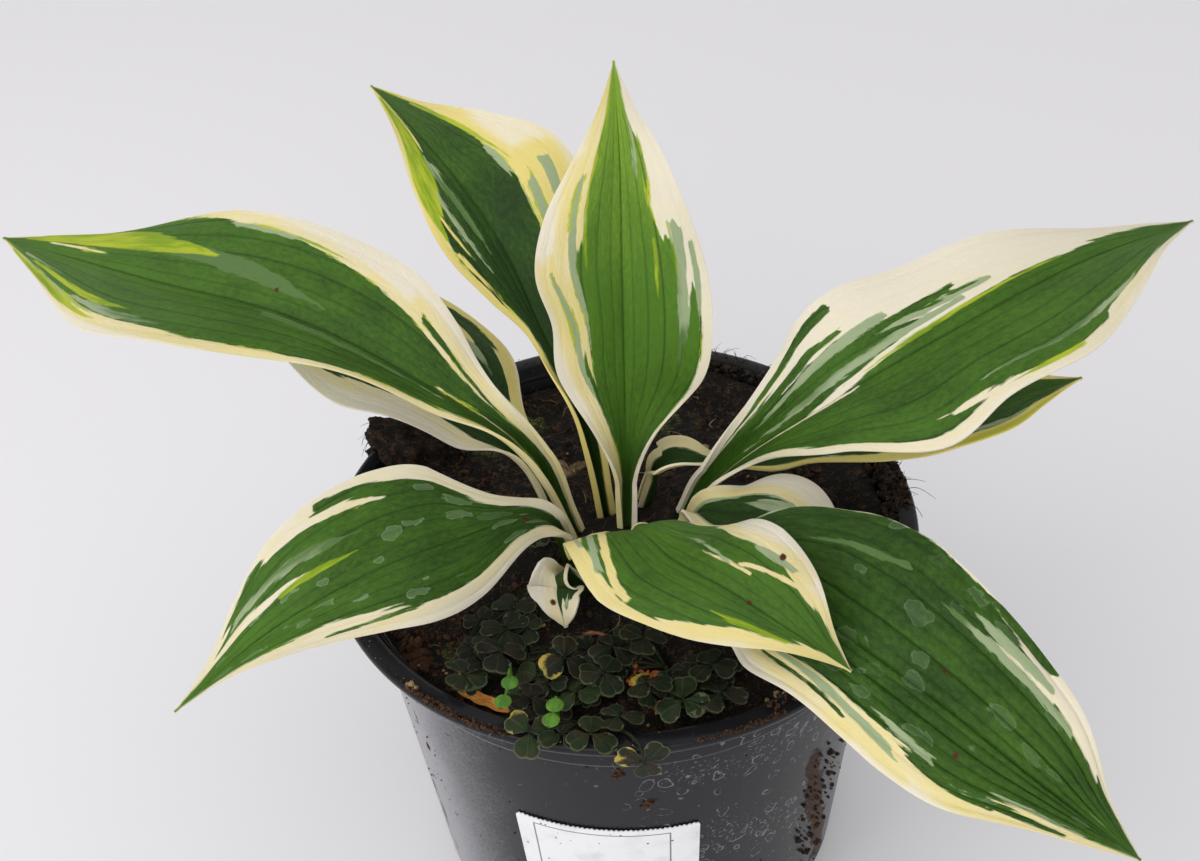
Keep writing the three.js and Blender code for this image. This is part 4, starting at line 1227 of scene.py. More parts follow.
def blade_shape(
    outline: Callable[[np.ndarray, np.ndarray], tuple[np.ndarray, ...]], thickness: float, pose: Matrix
) -> Shape:
    """Makes the shape of a thin blade for add_loft, with its upper side on the first half turn.

    Args:
        outline: gives x, y and z of upper points for places across (-1 to 1) and along (0 to 1).
        thickness: the blade's thickness at its middle, in millimetres.
        pose: puts the blade in its place.

    Returns:
        A function from places round and along to points.
    """

    def shape(around: np.ndarray, along: np.ndarray) -> np.ndarray:
        """Points on the blade."""
        across = across_blade(around)
        local = np.column_stack((*outline(across, along), np.ones(len(along))))
        points = local @ np.array(pose).T[:, :3]
        half = thickness * np.sqrt(np.clip(1 - across**2, 0, 1)) / 2
        points[:, 2] += np.where(around < 0.5, half, -half)
        return points

    return shape


def across_blade(around: np.ndarray, _along: np.ndarray | None = None) -> np.ndarray:
    """The place across a blade, from -1 to 1, for a place round its skin."""
    return 1 - 4 * np.abs(around - 0.5)


def cut_away(whole: Mesh, cutter: Mesh) -> Mesh:
    """Cuts one closed shape out of another.

    Args:
        whole: the shape to cut; it is freed.
        cutter: the shape to take away; it is freed.

    Returns:
        What is left.
    """
    holders = []
    for name, shape in (("whole", whole), ("cutter", cutter)):
        bmesh.ops.recalc_face_normals(shape, faces=shape.faces)
        mesh = bpy.data.meshes.new(name)
        shape.to_mesh(mesh)
        shape.free()
        holder = bpy.data.objects.new(name, mesh)
        bpy.context.scene.collection.objects.link(holder)
        holders.append(holder)
    cut = holders[0].modifiers.new("cut", "BOOLEAN")
    cut.operation = "DIFFERENCE"
    cut.solver = "EXACT"
    cut.object = holders[1]
    ready = holders[0].evaluated_get(bpy.context.evaluated_depsgraph_get())
    left_over = bpy.data.meshes.new_from_object(ready)
    result = bmesh.new()
    result.from_mesh(left_over)
    bpy.data.meshes.remove(left_over)
    for holder in holders:
        mesh = holder.data
        bpy.data.objects.remove(holder)
        bpy.data.meshes.remove(mesh)
    return result


def turned(profile: Sequence[Pair], steps: int) -> Mesh:
    """Spins a profile of (radius, height) points about the upright axis.

    Args:
        profile: points up the outside and down the inside.
        steps: faces round.

    Returns:
        The closed skin.
    """
    skin = bmesh.new()
    points = [skin.verts.new((radius, 0.0, height)) for radius, height in profile]
    edges = [skin.edges.new(pair) for pair in zip(points, points[1:])]
    if profile[0][0] > 0:
        edges.append(skin.edges.new((points[-1], points[0])))
    bmesh.ops.spin(
        skin, geom=points + edges, cent=(0, 0, 0), axis=(0, 0, 1), angle=2 * math.pi,
        steps=steps, use_merge=True, use_duplicate=False,
    )
    bmesh.ops.remove_doubles(skin, verts=skin.verts, dist=SAME_PLACE)
    bmesh.ops.recalc_face_normals(skin, faces=skin.faces)
    return skin


def near_line(
    azimuth: float, height: float, a0: float, z0: float, a1: float, z1: float, reach: float
) -> float:
    """How near a place on the pot wall is to a line, from 0 at its reach to 1 on it.

    Args:
        azimuth: the place's angle in degrees.
        height: its height in millimetres.
        a0, z0: angle and height of the line's first end.
        a1, z1: those of its second end.
        reach: how far the line reaches, in millimetres.

    Returns:
        The nearness.
    """
    per_degree = WALL_TOP_RADIUS * math.pi / 180
    start = Vector((a0 * per_degree, z0))
    run = Vector((a1 * per_degree, z1)) - start
    off = Vector((azimuth * per_degree, height)) - start
    along = min(1.0, max(0.0, off.dot(run) / max(run.length_squared, 1e-6)))
    return max(0.0, 1 - (off - run * along).length / reach)


@dataclass(frozen=True)
class PotFinish:
    """Black injection-moulded polypropylene, used outdoors.

    It is smooth with a soft sheen. Light dust greys it, drops of hard water have dried on it as pale
    rings, and specks and smears of potting soil stick to it. In the dust's grey, a painted sheen
    lightens the wall's left side and a painted highlight runs as a thin line along the collar's foot.
    """

    plastic: str = "#18181b"
    # Pale grey of the dust, also used for the painted sheen on the wall's left side and the painted highlight
    # on the moulding line
    dust_and_sheen_grey: str = "#a09fa5"
    ring: str = "#9b9ca2"
    soil: str = "#1f140e"
    soil_light: str = "#4a2f1c"

    def build(self) -> Material:
        """Builds the material."""
        # Object coordinates are in metres: dust clouds of 36 mm, grain of 1 mm, smears of 8 mm
        look = Recipe("black_injection_moulded_polypropylene", ("soiled", "limed", "dust_and_sheen"), {
            "clouds": (28.0, 3.0, 0.5), "grain": (900.0, 3.0, 0.5), "crumbs": (130.0, 6.0, 0.68),
            "broken": (330.0, 2.0, 0.5)})
        # Dust, with the painted sheen on the wall's left side and the painted highlight on the moulding line
        # that the same mark carries
        dust_and_sheen_spread = (("dust_and_sheen", 1.0), ("clouds", 0.5), ("grain", 0.5)), -0.5, 0.6
        # The dried rings are 1.5 to 5 mm wide, in cells of 6 mm
        _, away, _ = look.drop_marks(160.0, 1.0, (0.006,) * 3, (170.0,) * 3, 0.14)
        rings = add_node(look.tree, "Math", {
            "operation": "MULTIPLY", 0: look.share(away, 0.05, 0.005, 0.42),
            1: look.share((("broken", 3.2), ("limed", 1.1)), -0.2, 0.5)})
        smear = look.share((("soiled", 1.6), ("crumbs", 2.6), ("clouds", 0.5)), -0.05, 0.15)
        earth = look.layered(self.soil, (self.soil_light, "grain", 0.4, 0.65))
        colour = look.layered(
            self.plastic, (self.dust_and_sheen_grey, *dust_and_sheen_spread, 0.68), (self.ring, rings),
            (self.ring, (("grain", 2.6), ("limed", 1.0)), 0.6, 0.9, 0.35),
            (earth, look.specks(150.0, (0.16, 0.09), (0.62, 0.66))), (earth, smear))
        dull = look.summed((look.share(*dust_and_sheen_spread), 0.5), (smear, 1.0), ("grain", 0.6))
        height = look.summed(("grain", 0.06), (smear, 0.8), (rings, 0.12))
        return look.finish(colour, (0.6, 0.0006, height), {
            "IOR": 1.49,
            "Roughness": add_node(look.tree, "MapRange", {"To Min": 0.26, "To Max": 0.6, "Value": dull}),
            "Specular IOR Level": add_node(
                look.tree, "MapRange", {"To Min": 0.2, "To Max": 0.03, "Value": smear})})


@dataclass(frozen=True)
class Pot:
    """The round nursery pot, turned, with eight drain holes in its floor."""

    steps: int = 192
    foot_inner_radius: float = 60.0
    floor_disc_radius: float = 38.0
    floor_raise: float = 3.0
    drain_count: int = 8
    drain_radius: float = 4.5
    drain_ring_radius: float = 49.0
    drain_sides: int = 32
    wall_rows: int = 24
    unevenness: float = 0.12
    uneven_heights: Pair = (10, 140)
    ripple_size: Triple = (40, 40, 55)
    smears: tuple[tuple[float, ...], ...] = (
        (-47, 96, -36, 40, 7.0), (-44, 70, -33, 30, 9.0), (-38, 45, -30, 8, 10.0), (-91, 106, -87, 108, 2.6),
        (-94.5, 128, -93, 122, 2.0), (-99, 129, -98, 127, 1.6), (-78, 60, -76, 56, 2.5),
        (140, 60, 150, 30, 8.0), (60, 90, 75, 70, 6.0), (-150, 120, -146, 90, 1.6), (-155, 60, -152, 20, 3.0),
    )
    limed: tuple[tuple[float, ...], ...] = (
        (-82, 122, -40, 116, 30.0), (-72, 84, -40, 60, 45.0), (-60, 30, -40, 20, 30.0),
        (100, 80, 150, 60, 35.0), (20, 60, 40, 90, 30.0), (-160, 50, -175, 80, 30.0),
    )

    def profile(self) -> list[Pair]:
        """The wall's cut section, up the outside and down the inside."""
        disc, foot, raised = self.floor_disc_radius, self.foot_inner_radius, self.floor_raise
        inside = raised + WALL
        outer = [
            (0, 0), (disc, 0), (disc + 0.8, 0.4), (disc + 2, raised), (foot - 2, raised), (foot - 0.8, 0.5),
            (foot, 0), (68, 0), (70.5, 0.7), (72.3, 2.4), (73.6, 4.8),
        ]
        rows = self.wall_rows
        outer += [(wall_radius(8 + 121 * row / rows), 8 + 121 * row / rows) for row in range(rows + 1)]
        lip = [
            (84.35, 129.8), (84.7, 130.1), (85.9, 130.4), (86.1, 130.9), (86.12, 131.5), (86.25, 137),
            (86.4, 144.8), (86.6, 145.6), (87.2, 146), (93.2, 146), (94.2, 146.2), (94.8, 146.8),
            (95, 147.6), (95, 148.2), (94.8, 149.1), (94.2, 149.7), (93.1, 150), (90.3, 150), (89.3, 149.8),
            (88.7, 149.3), (88.3, 148.4), (86.6, 145), (84.9, 141.8), (84.6, 140.8), (84.6, 130.4),
            (84.3, 129.4), (82.7, 126),
        ]
        heights = [8 + 118 * row / 12 for row in range(11, -1, -1)]
        inner = [(wall_radius(height) - WALL, height) for height in heights]
        floor = [(70, 5.6), (67, inside), (foot - 2, inside), (disc + 2, inside), (0, inside)]
        return outer + lip + inner + floor

    def build(self, finish: PotFinish) -> Piece:
        """Builds the pot.

        Args:
            finish: its plastic.

        Returns:
            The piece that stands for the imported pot.
        """
        skin = turned(self.profile(), self.steps)
        for vert in skin.verts:
            x, y, z = vert.co
            if self.uneven_heights[0] < z < self.uneven_heights[1]:
                ripple = noise.noise([part / size for part, size in zip(vert.co, self.ripple_size)])
                push = 1 + self.unevenness * ripple / math.hypot(x, y)
                vert.co = (x * push, y * push, z)
        cutters = bmesh.new()
        for hole in range(self.drain_count):
            angle = 2 * math.pi * hole / self.drain_count
            at = (self.drain_ring_radius * math.cos(angle), self.drain_ring_radius * math.sin(angle), 4.0)
            bmesh.ops.create_cone(
                cutters, cap_ends=True, segments=self.drain_sides, radius1=self.drain_radius,
                radius2=self.drain_radius, depth=20.0, matrix=Matrix.Translation(at),
            )
        pot = cut_away(skin, cutters)
        soiled, limed, dust_and_sheen = (pot.verts.layers.float.new(key) for key in ("soiled", "limed", "dust_and_sheen"))
        for vert in pot.verts:
            x, y, z = vert.co
            azimuth = math.degrees(math.atan2(y, x))
            outside = math.hypot(x, y) > wall_radius(z) - WALL / 2
            for mark, lines, within in ((soiled, self.smears, 0.2), (limed, self.limed, 0.3)):
                vert[mark] = max(near_line(azimuth, z, *line) for line in lines) if outside else within
            # Painted sheen: the wall is greyed most toward its left side, as if by light reflected there
            left = max(0.0, math.cos(math.radians(azimuth + 166))) ** 6
            # Painted highlight: a thin pale line along the collar's lower edge
            moulding_highlight = math.exp(-((z - COLLAR_BOTTOM - 0.4) / 0.5) ** 2) if outside else 0.0
            vert[dust_and_sheen] = (1.5 * left + 0.6 * moulding_highlight - 0.1) if z < 145 else -0.4
        return finish_piece("moulded_pot", pot, finish.build(), ["pot"])


@dataclass(frozen=True)
class PeatFinish:
    """Moist potting peat with moss and torn plant fibre.

    The surface is rough and matt. Blackish brown crumbs lie between paler threads, and a thin olive
    moss greens the parts that get light. The peat is brown on the lumps that raise its bump and black
    in their hollows, partly as painted shade. Loose bits range from black through brown to straw.
    """

    black: str = "#15110d"
    brown: str = "#5c432c"
    red_brown: str = "#5c3d25"
    straw: str = "#b09468"
    moss: str = "#3c4820"
    moss_light: str = "#8c9448"

    def build(self, name: str) -> Material:
        """Builds the material for the bed or for the loose bits.

        Args:
            name: what the peat is there.

        Returns:
            The material.
        """
        # Lumps of 4 mm, grains of 0.7 mm and mossy patches of 17 mm
        look = Recipe(name, ("tone", "mossy"), {
            "lumps": (260.0, 6.0, 0.72), "grain": (1400.0, 3.0, 0.5), "patch": (60.0, 3.0, 0.5)})
        moss = look.layered(self.moss, (self.moss_light, "grain", 0.4, 0.7))
        spread = look.summed(("tone", 1.0), ("grain", 0.3), ("lumps", 0.3))
        # Brown on the lumps that raise the bump and black in their hollows: partly the peat's own tone,
        # partly painted light on the tops and painted shade in the hollows
        colour = look.layered(
            self.black, (self.brown, (("lumps", 1.0), ("grain", 0.7)), 0.0, 0.26),
            (moss, (("mossy", 1.2), ("patch", 1.4), ("lumps", 1.6)), -0.1, 0.4, 0.7),
            (self.red_brown, spread, -0.4, 0.05), (self.straw, spread, 0.05, 0.5))
        height = look.summed(("lumps", 1.0), ("grain", 0.35))
        return look.finish(colour, (1.0, 0.002, height), {"Roughness": 0.88, "Specular IOR Level": 0.3})


@dataclass(frozen=True)
class Soil:
    """The peat bed that fills the pot, with a torn lump hanging over the rim."""

    cells: int = 236
    clearance: float = 0.35
    clump_place: Triple = (-75.0, 43.0, 149.0)
    clump_size: Triple = (15.0, 11.0, 9.0)
    clump_turn: float = -32.0
    dip_depth: float = 3.6
    dip_radius: float = 5.2
    bank_middle: float = 32.0
    bank_reach: float = 46.0
    bank_fade: float = 14.0
    bank_rise: float = 6.5
    bank_from: float = 68.0
    bank_width: float = 16.0
    moss_places: tuple[Triple, ...] = (
        (-50, -49, 16), (-47, -12, 18), (-60, -25, 18), (-30, -35, 14), (40, -50, 20), (10, 60, 30),
        (-40, 50, 25), (60, 30, 22),
    )

    def build(self, finish: PeatFinish, leaves: Sequence[Leaf]) -> Piece:
        """Builds the bed and its lump.

        Args:
            finish: the peat.
            leaves: the leaves whose stalks stand in the bed.

        Returns:
            The piece that stands for the packed soil.
        """
        bed = blank_mesh("tone", "mossy")
        mossy = bed.verts.layers.float["mossy"]
        edge = COLLAR_RADIUS - WALL - self.clearance
        bmesh.ops.create_grid(bed, x_segments=self.cells, y_segments=self.cells, size=1.0)
        stems = [self.stem_place(leaf) for leaf in leaves]
        for vert in bed.verts:
            a, b, _ = vert.co
            x = edge * a * math.sqrt(1 - b * b / 2)
            y = edge * b * math.sqrt(1 - a * a / 2)
            vert.co = (x, y, self.height(x, y, stems))
            vert[mossy] = max(
                max(0.0, 1 - math.hypot(x - mx, y - my) / reach) for mx, my, reach in self.moss_places)
        self.build_wall(bed, edge)
        join(bed, self.build_clump())
        return finish_piece("peat_bed", bed, finish.build("moist_peat_with_moss"), ["soil"])

    def stem_place(self, leaf: Leaf) -> Pair:
        """Where a leaf's stalk comes out of the bed."""
        rib = smooth_run(leaf.shape.rib_points(), np.linspace(0, 1, 41))
        nearest = rib[int(np.argmin(np.abs(rib[:, 2] - SOIL_EDGE - 3)))]
        return float(nearest[0]), float(nearest[1])

    def height(self, x: float, y: float, stems: Sequence[Pair]) -> float:
        """Works out the bed's height, with lumps, crumbs and dips round the stalks.

        Args:
            x: the place's first coordinate.
            y: its second one.
            stems: where the stalks stand.

        Returns:
            The height in millimetres.
        """
        level = soil_height(x, y) - 0.5 + self.bank(x, y)
        broad = noise.fractal(Vector((x / 16, y / 16, 3.0)), 0.8, 2.1, 4)
        crumb = 0.55 - noise.voronoi(Vector((x / 3.4, y / 3.4, 7.0 + broad * 0.4)))[0][0]
        fine = noise.fractal(Vector((x / 1.7, y / 1.7, 11.0)), 0.7, 2.2, 2)
        dip = sum(math.exp(-((x - sx) ** 2 + (y - sy) ** 2) / self.dip_radius**2) for sx, sy in stems)
        return level + 0.8 * broad + 0.9 * crumb + 0.35 * fine - self.dip_depth * min(dip, 1.2)

    def bank(self, x: float, y: float) -> float:
        """How far the peat is heaped up against the pot's lip at a place."""
        off = abs(math.degrees(math.atan2(y, x)) - self.bank_middle)
        across = float(smooth_step((math.hypot(x, y) - self.bank_from) / self.bank_width))
        return self.bank_rise * across * float(smooth_step((self.bank_reach - off) / self.bank_fade))

    def build_wall(self, bed: Mesh, edge: float) -> None:
        """Closes the bed down the pot's inside and across its floor.

        Args:
            bed: the bed's surface.
            edge: the surface's radius.
        """
        inside = 3.0 + WALL + self.clearance
        rim = [item for item in bed.edges if item.is_boundary]
        for radius, height in (
            (edge, 133.0), (WALL_TOP_RADIUS - WALL - self.clearance, 127.0),
            (wall_radius(8) - WALL - self.clearance, 9.0), (66.0, inside),
        ):
            grown = bmesh.ops.extrude_edge_only(bed, edges=rim)["geom"]
            rim = [item for item in grown if isinstance(item, bmesh.types.BMEdge)]
            for vert in {vert for item in rim for vert in item.verts}:
                scale = radius / math.hypot(vert.co.x, vert.co.y)
                vert.co = (vert.co.x * scale, vert.co.y * scale, height)
        bmesh.ops.edgeloop_fill(bed, edges=rim)

    def build_clump(self) -> Mesh:
        """Builds the torn lump, cut away where the pot's lip passes under it."""
        clump = blank_mesh("tone", "mossy")
        bmesh.ops.create_icosphere(clump, subdivisions=6, radius=1.0)
        tone = clump.verts.layers.float["tone"]
        place = Matrix.Translation(self.clump_place) @ turn_z(math.radians(self.clump_turn))
        size = Matrix.Diagonal(self.clump_size)
        for vert in clump.verts:
            x, y, z = vert.co
            bumps = 0.94 + 0.14 * math.sin(x * 7 + 1) * math.cos(y * 6) + 0.1 * math.sin(z * 9 + x * 5)
            bumps += 0.1 * noise.fractal(vert.co * 3.5, 0.8, 2.2, 5)
            bumps += 0.05 * (0.5 - noise.voronoi(vert.co * 7)[0][0])
            scaled = size @ vert.co * bumps
            vert[tone] = 0.12 + 0.3 * max(0.0, noise.noise(scaled / 2.5))
            vert.co = place @ scaled
        gap = self.clearance
        inner, outer, far = COLLAR_RADIUS - WALL - gap, RIM_RADIUS + gap, RIM_RADIUS + 20
        under, over = POT_HEIGHT - LIP_DEPTH, POT_HEIGHT + gap
        return cut_away(clump, turned(
            [
                (inner, COLLAR_BOTTOM), (far, COLLAR_BOTTOM), (far, under), (outer, under),
                (outer, POT_HEIGHT - 1.4), (RIM_RADIUS - 1, over), (LIP_INNER_RADIUS - 1, over),
                (inner, under - 1),
            ], 96))


@dataclass(frozen=True)
class Bits:
    """A cluster of loose bits or threads, spread over part of a ring."""

    azimuth: Pair
    radius: Pair
    count: int
    size: Pair
    tone: Pair
    height: Pair | None = None
    stretch: float = 1.0


@dataclass(frozen=True)
class LooseBits:
    """Crumbs of peat and torn root threads on the bed, on the lip and stuck to the wall."""

    clusters: tuple[Bits, ...] = (
        Bits((-180, 180), (4, 83), 300, (0.5, 1.6), (0.0, 0.45)),
        Bits((-180, 180), (20, 83), 26, (0.5, 1.3), (0.75, 1.0)),
        Bits((5, 175), (30, 83), 520, (0.4, 1.2), (0.1, 0.52), stretch=1.5),
        Bits((-30, 60), (60, 84), 360, (0.4, 1.3), (0.1, 0.52), stretch=1.8),
        Bits((-165, -125), (50, 84), 240, (0.4, 1.2), (0.15, 0.55), stretch=1.5),
        Bits((-148, -138), (74, 84), 16, (1.2, 2.6), (0.3, 0.5), stretch=2.2),
        Bits((-141, -139), (81, 84), 5, (0.9, 1.6), (0.9, 1.0), stretch=1.8),
        Bits((-136, -133), (76, 80), 4, (0.6, 1.1), (0.85, 1.0)),
        Bits((-133, -112), (92.9, 95.2), 420, (0.25, 0.85), (0.12, 0.5), (149.5, 150.9)),
        Bits((-150, -133), (89, 94.6), 26, (0.2, 0.6), (0.2, 0.9), (150, 150)),
        Bits((-134, -131), (92, 94), 7, (0.7, 1.3), (0.7, 0.95), (150, 150.6)),
        Bits((-112, -80), (89, 94.8), 26, (0.15, 0.5), (0.2, 0.9), (150, 150)),
        Bits((-80, -63), (93.6, 95.2), 230, (0.2, 0.65), (0.12, 0.5), (149.6, 150.5)),
        Bits((-64, -57), (84.6, 88.0), 24, (0.6, 1.3), (0.75, 0.95), (143, 148)),
        Bits((-66, -56), (88.6, 93), 36, (0.4, 1.0), (0.25, 0.5), (150, 150.8)),
        Bits((-60, 175), (89, 94.6), 90, (0.2, 0.8), (0.2, 0.8), (150, 150)),
        Bits((-8, 70), (83.5, 88.6), 420, (0.6, 1.7), (0.0, 0.3), (147.2, 149.6)),
        Bits((-2, 14), (88, 94), 160, (0.4, 1.2), (0.0, 0.35), (150, 150.8)),
        Bits((-48, -31), (0, 0), 110, (0.4, 1.5), (0.1, 0.4), (12, 96)),
        Bits((-95, -92.5), (0, 0), 12, (0.5, 1.0), (0.3, 0.55), (122, 128)),
        Bits((-90, -87), (0, 0), 14, (0.4, 0.9), (0.35, 0.55), (106, 109)),
        Bits((-158, -140), (0, 0), 22, (0.25, 0.6), (0.1, 0.4), (60, 128)),
        Bits((-180, 180), (0, 0), 90, (0.2, 0.55), (0.1, 0.5), (10, 128)),
    )
    thread_count: int = 130
    rim_fibres: tuple[tuple[float, float, int], ...] = ((-3, 12, 46), (20, 60, 30), (58, 72, 26))
    clump_fibres: int = 90
    seed: int = 41

    def build(self, finish: PeatFinish) -> list[Piece]:
        """Builds the crumbs and the threads.

        Args:
            finish: the peat.

        Returns:
            Both as a piece each.
        """
        draw = Draw(self.seed)
        material = finish.build("loose_peat_and_root_threads")
        crumbs = blank_mesh("tone", "mossy")
        for bits in self.clusters:
            cluster = blank_mesh("tone", "mossy")
            for _ in range(bits.count):
                self.add_crumb(cluster, bits, draw)
            join(crumbs, cluster)
        threads = blank_mesh("tone", "mossy")
        for _ in range(self.thread_count):
            self.add_bed_thread(threads, draw)
        for start, end, count in self.rim_fibres:
            for _ in range(count):
                self.add_rim_fibre(threads, math.radians(draw.between(start, end)), draw)
        bed = Soil()
        for _ in range(self.clump_fibres):
            out = Vector((draw.between(-1, 1), draw.between(-1, 1), draw.between(-0.2, 1))).normalized()
            root = Vector(part * size * 0.85 for part, size in zip(out, bed.clump_size))
            root.rotate(Matrix.Rotation(math.radians(bed.clump_turn), 3, "Z"))
            self.add_fibre(threads, root + Vector(bed.clump_place), out, draw.between(2, 5), draw)
        return [
            finish_piece("peat_crumbs", crumbs, material, [], smooth=False),
            finish_piece("root_threads", threads, material, []),
        ]

    def add_crumb(self, crumbs: Mesh, bits: Bits, draw: Draw) -> None:
        """Adds one uneven crumb that rests on the bed, the lip or the wall.

        Args:
            crumbs: where it goes.
            bits: its cluster.
            draw: repeatable draws.
        """
        azimuth = math.radians(draw.between(*bits.azimuth))
        size = draw.between(*bits.size) * draw.between(0.6, 1.0)
        spread = draw()
        radius = bits.radius[0] + (bits.radius[1] - bits.radius[0]) * math.sqrt(spread)
        if bits.height is None:
            height = soil_height(radius * math.cos(azimuth), radius * math.sin(azimuth)) + size * 0.25
        else:
            height = draw.between(*bits.height) + size * 0.2
        if bits.radius[1] == 0:
            radius = wall_radius(height) + size * 0.2
        place = Vector((radius * math.cos(azimuth), radius * math.sin(azimuth), height))
        tone = draw.between(*bits.tone)
        turn = Matrix.Rotation(2 * math.pi * draw(), 4, (draw() - 0.5, draw() - 0.5, draw() + 0.1))
        proportions = Vector((bits.stretch, draw.between(0.5, 1.0), draw.between(0.4, 0.8))) * size
        made = bmesh.ops.create_icosphere(crumbs, subdivisions=2 if size > 1.15 else 1, radius=1.0)["verts"]
        layer = crumbs.verts.layers.float["tone"]
        for vert in made:
            rough = 1 + 0.35 * noise.noise(vert.co * 1.7 + place)
            vert.co = place + turn @ (vert.co * proportions * rough)
            vert[layer] = tone

    def add_bed_thread(self, threads: Mesh, draw: Draw) -> None:
        """Adds one thread that lies on the bed.

        Args:
            threads: where it goes.
            draw: repeatable draws.
        """
        azimuth, radius = 2 * math.pi * draw(), 80 * math.sqrt(draw())
        heading, length = 2 * math.pi * draw(), draw.between(3, 11)
        x, y = radius * math.cos(azimuth), radius * math.sin(azimuth)
        path = []
        for step in range(5):
            heading += draw.between(-0.6, 0.6)
            if math.hypot(x, y) > 81:
                x, y = x * 0.98, y * 0.98
            path.append((x, y, soil_height(x, y) + draw.between(0.2, 1.0)))
            x, y = x + math.cos(heading) * length / 4, y + math.sin(heading) * length / 4
        thick = draw.between(0.12, 0.3)
        shape = tube_shape(path, (thick * 0.4, thick, thick * 0.5))
        add_loft(threads, 4, 6, shape, {"tone": draw.between(0.3, 0.9)})

    def add_rim_fibre(self, threads: Mesh, azimuth: float, draw: Draw) -> None:
        """Adds one fine fibre that sticks out of the heaped peat over the lip.

        Args:
            threads: where it goes.
            azimuth: where on the lip it is.
            draw: repeatable draws.
        """
        out = Vector((math.cos(azimuth), math.sin(azimuth), 0.0))
        root = out * draw.between(86, 93) + Vector((0, 0, 150.2))
        aim = out * draw.between(0.3, 1) + Vector((-out.y, out.x, 0)) * draw.between(-0.8, 0.8)
        aim.z = draw.between(0.1, 0.7)
        self.add_fibre(threads, root, aim.normalized(), draw.between(2, 6), draw)

    def add_fibre(
        self, threads: Mesh, root: Vector, out: Vector, length: float, draw: Draw
    ) -> None:
        """Adds one fine curling fibre.

        Args:
            threads: where it goes.
            root: its lower end.
            out: the way that it points first.
            length: its length in millimetres.
            draw: repeatable draws.
        """
        curl = Vector((draw.between(-1, 1), draw.between(-1, 1), draw.between(-1.2, 0.2))) * 0.5
        path = [
            root, root + out * length * 0.5, root + (out + curl * 0.5) * length * 0.8,
            root + (out + curl * 1.4) * length,
        ]
        thick = draw.between(0.08, 0.17)
        shape = tube_shape(path, (thick, thick * 0.8, thick * 0.4))
        add_loft(threads, 4, 6, shape, {"tone": draw.between(0.1, 0.5)})


@dataclass(frozen=True)
class WeedFinish:
    """A living creeping sorrel, grown.

    The leaflets are matt and very dark, with bronze and purple clouding, a paler line down the middle
    of each, a fine pale edge, and a few that turn yellow and rust at the tip.
    """

    dark: str = "#0e120a"
    bronze: str = "#2a2016"
    green: str = "#17210e"
    bright: str = "#29411a"
    line: str = "#7c8664"
    rust: str = "#9c5526"
    yellow: str = "#ac9a44"

    def build(self) -> Material:
        """Builds the material."""
        # Clouding of 4.5 mm on leaflets of 8 mm, and a skin grained at 0.7 mm
        look = Recipe("living_creeping_sorrel", ("tone", "autumn", "across", "along"), {
            "clouds": (220.0, 3.0, 0.5), "grain": (1500.0, 2.0, 0.5)})
        tone = look.summed(("tone", 1.0), ("clouds", 0.9))
        off = add_node(look.tree, "Math", {"operation": "ABSOLUTE", 0: look.of["across"]})
        turning = look.summed(("autumn", 1.5), ("along", 1.0), ("clouds", 1.6))
        colour = look.layered(
            self.dark, (self.green, tone, -0.5, 0.05), (self.bright, tone, 0.1, 0.7),
            (self.bronze, "clouds", 0.42, 0.65, 0.8), (self.line, off, 0.09, 0.0, 0.07),
            (self.line, off, 0.95, 1.0, 0.4), (self.line, "along", 0.92, 1.0, 0.32),
            (self.yellow, turning, 0.75, 1.05), (self.rust, turning, 1.0, 1.3))
        height = look.summed(("grain", 1.0), ("clouds", 1.0), (look.share(off, 0.09, 0.0), -1.0))
        return look.finish(colour, (0.4, 0.0003, height), {
            "Roughness": 0.6, "Subsurface Weight": 0.06, "Subsurface Scale": 0.001,
            "Specular IOR Level": 0.2})


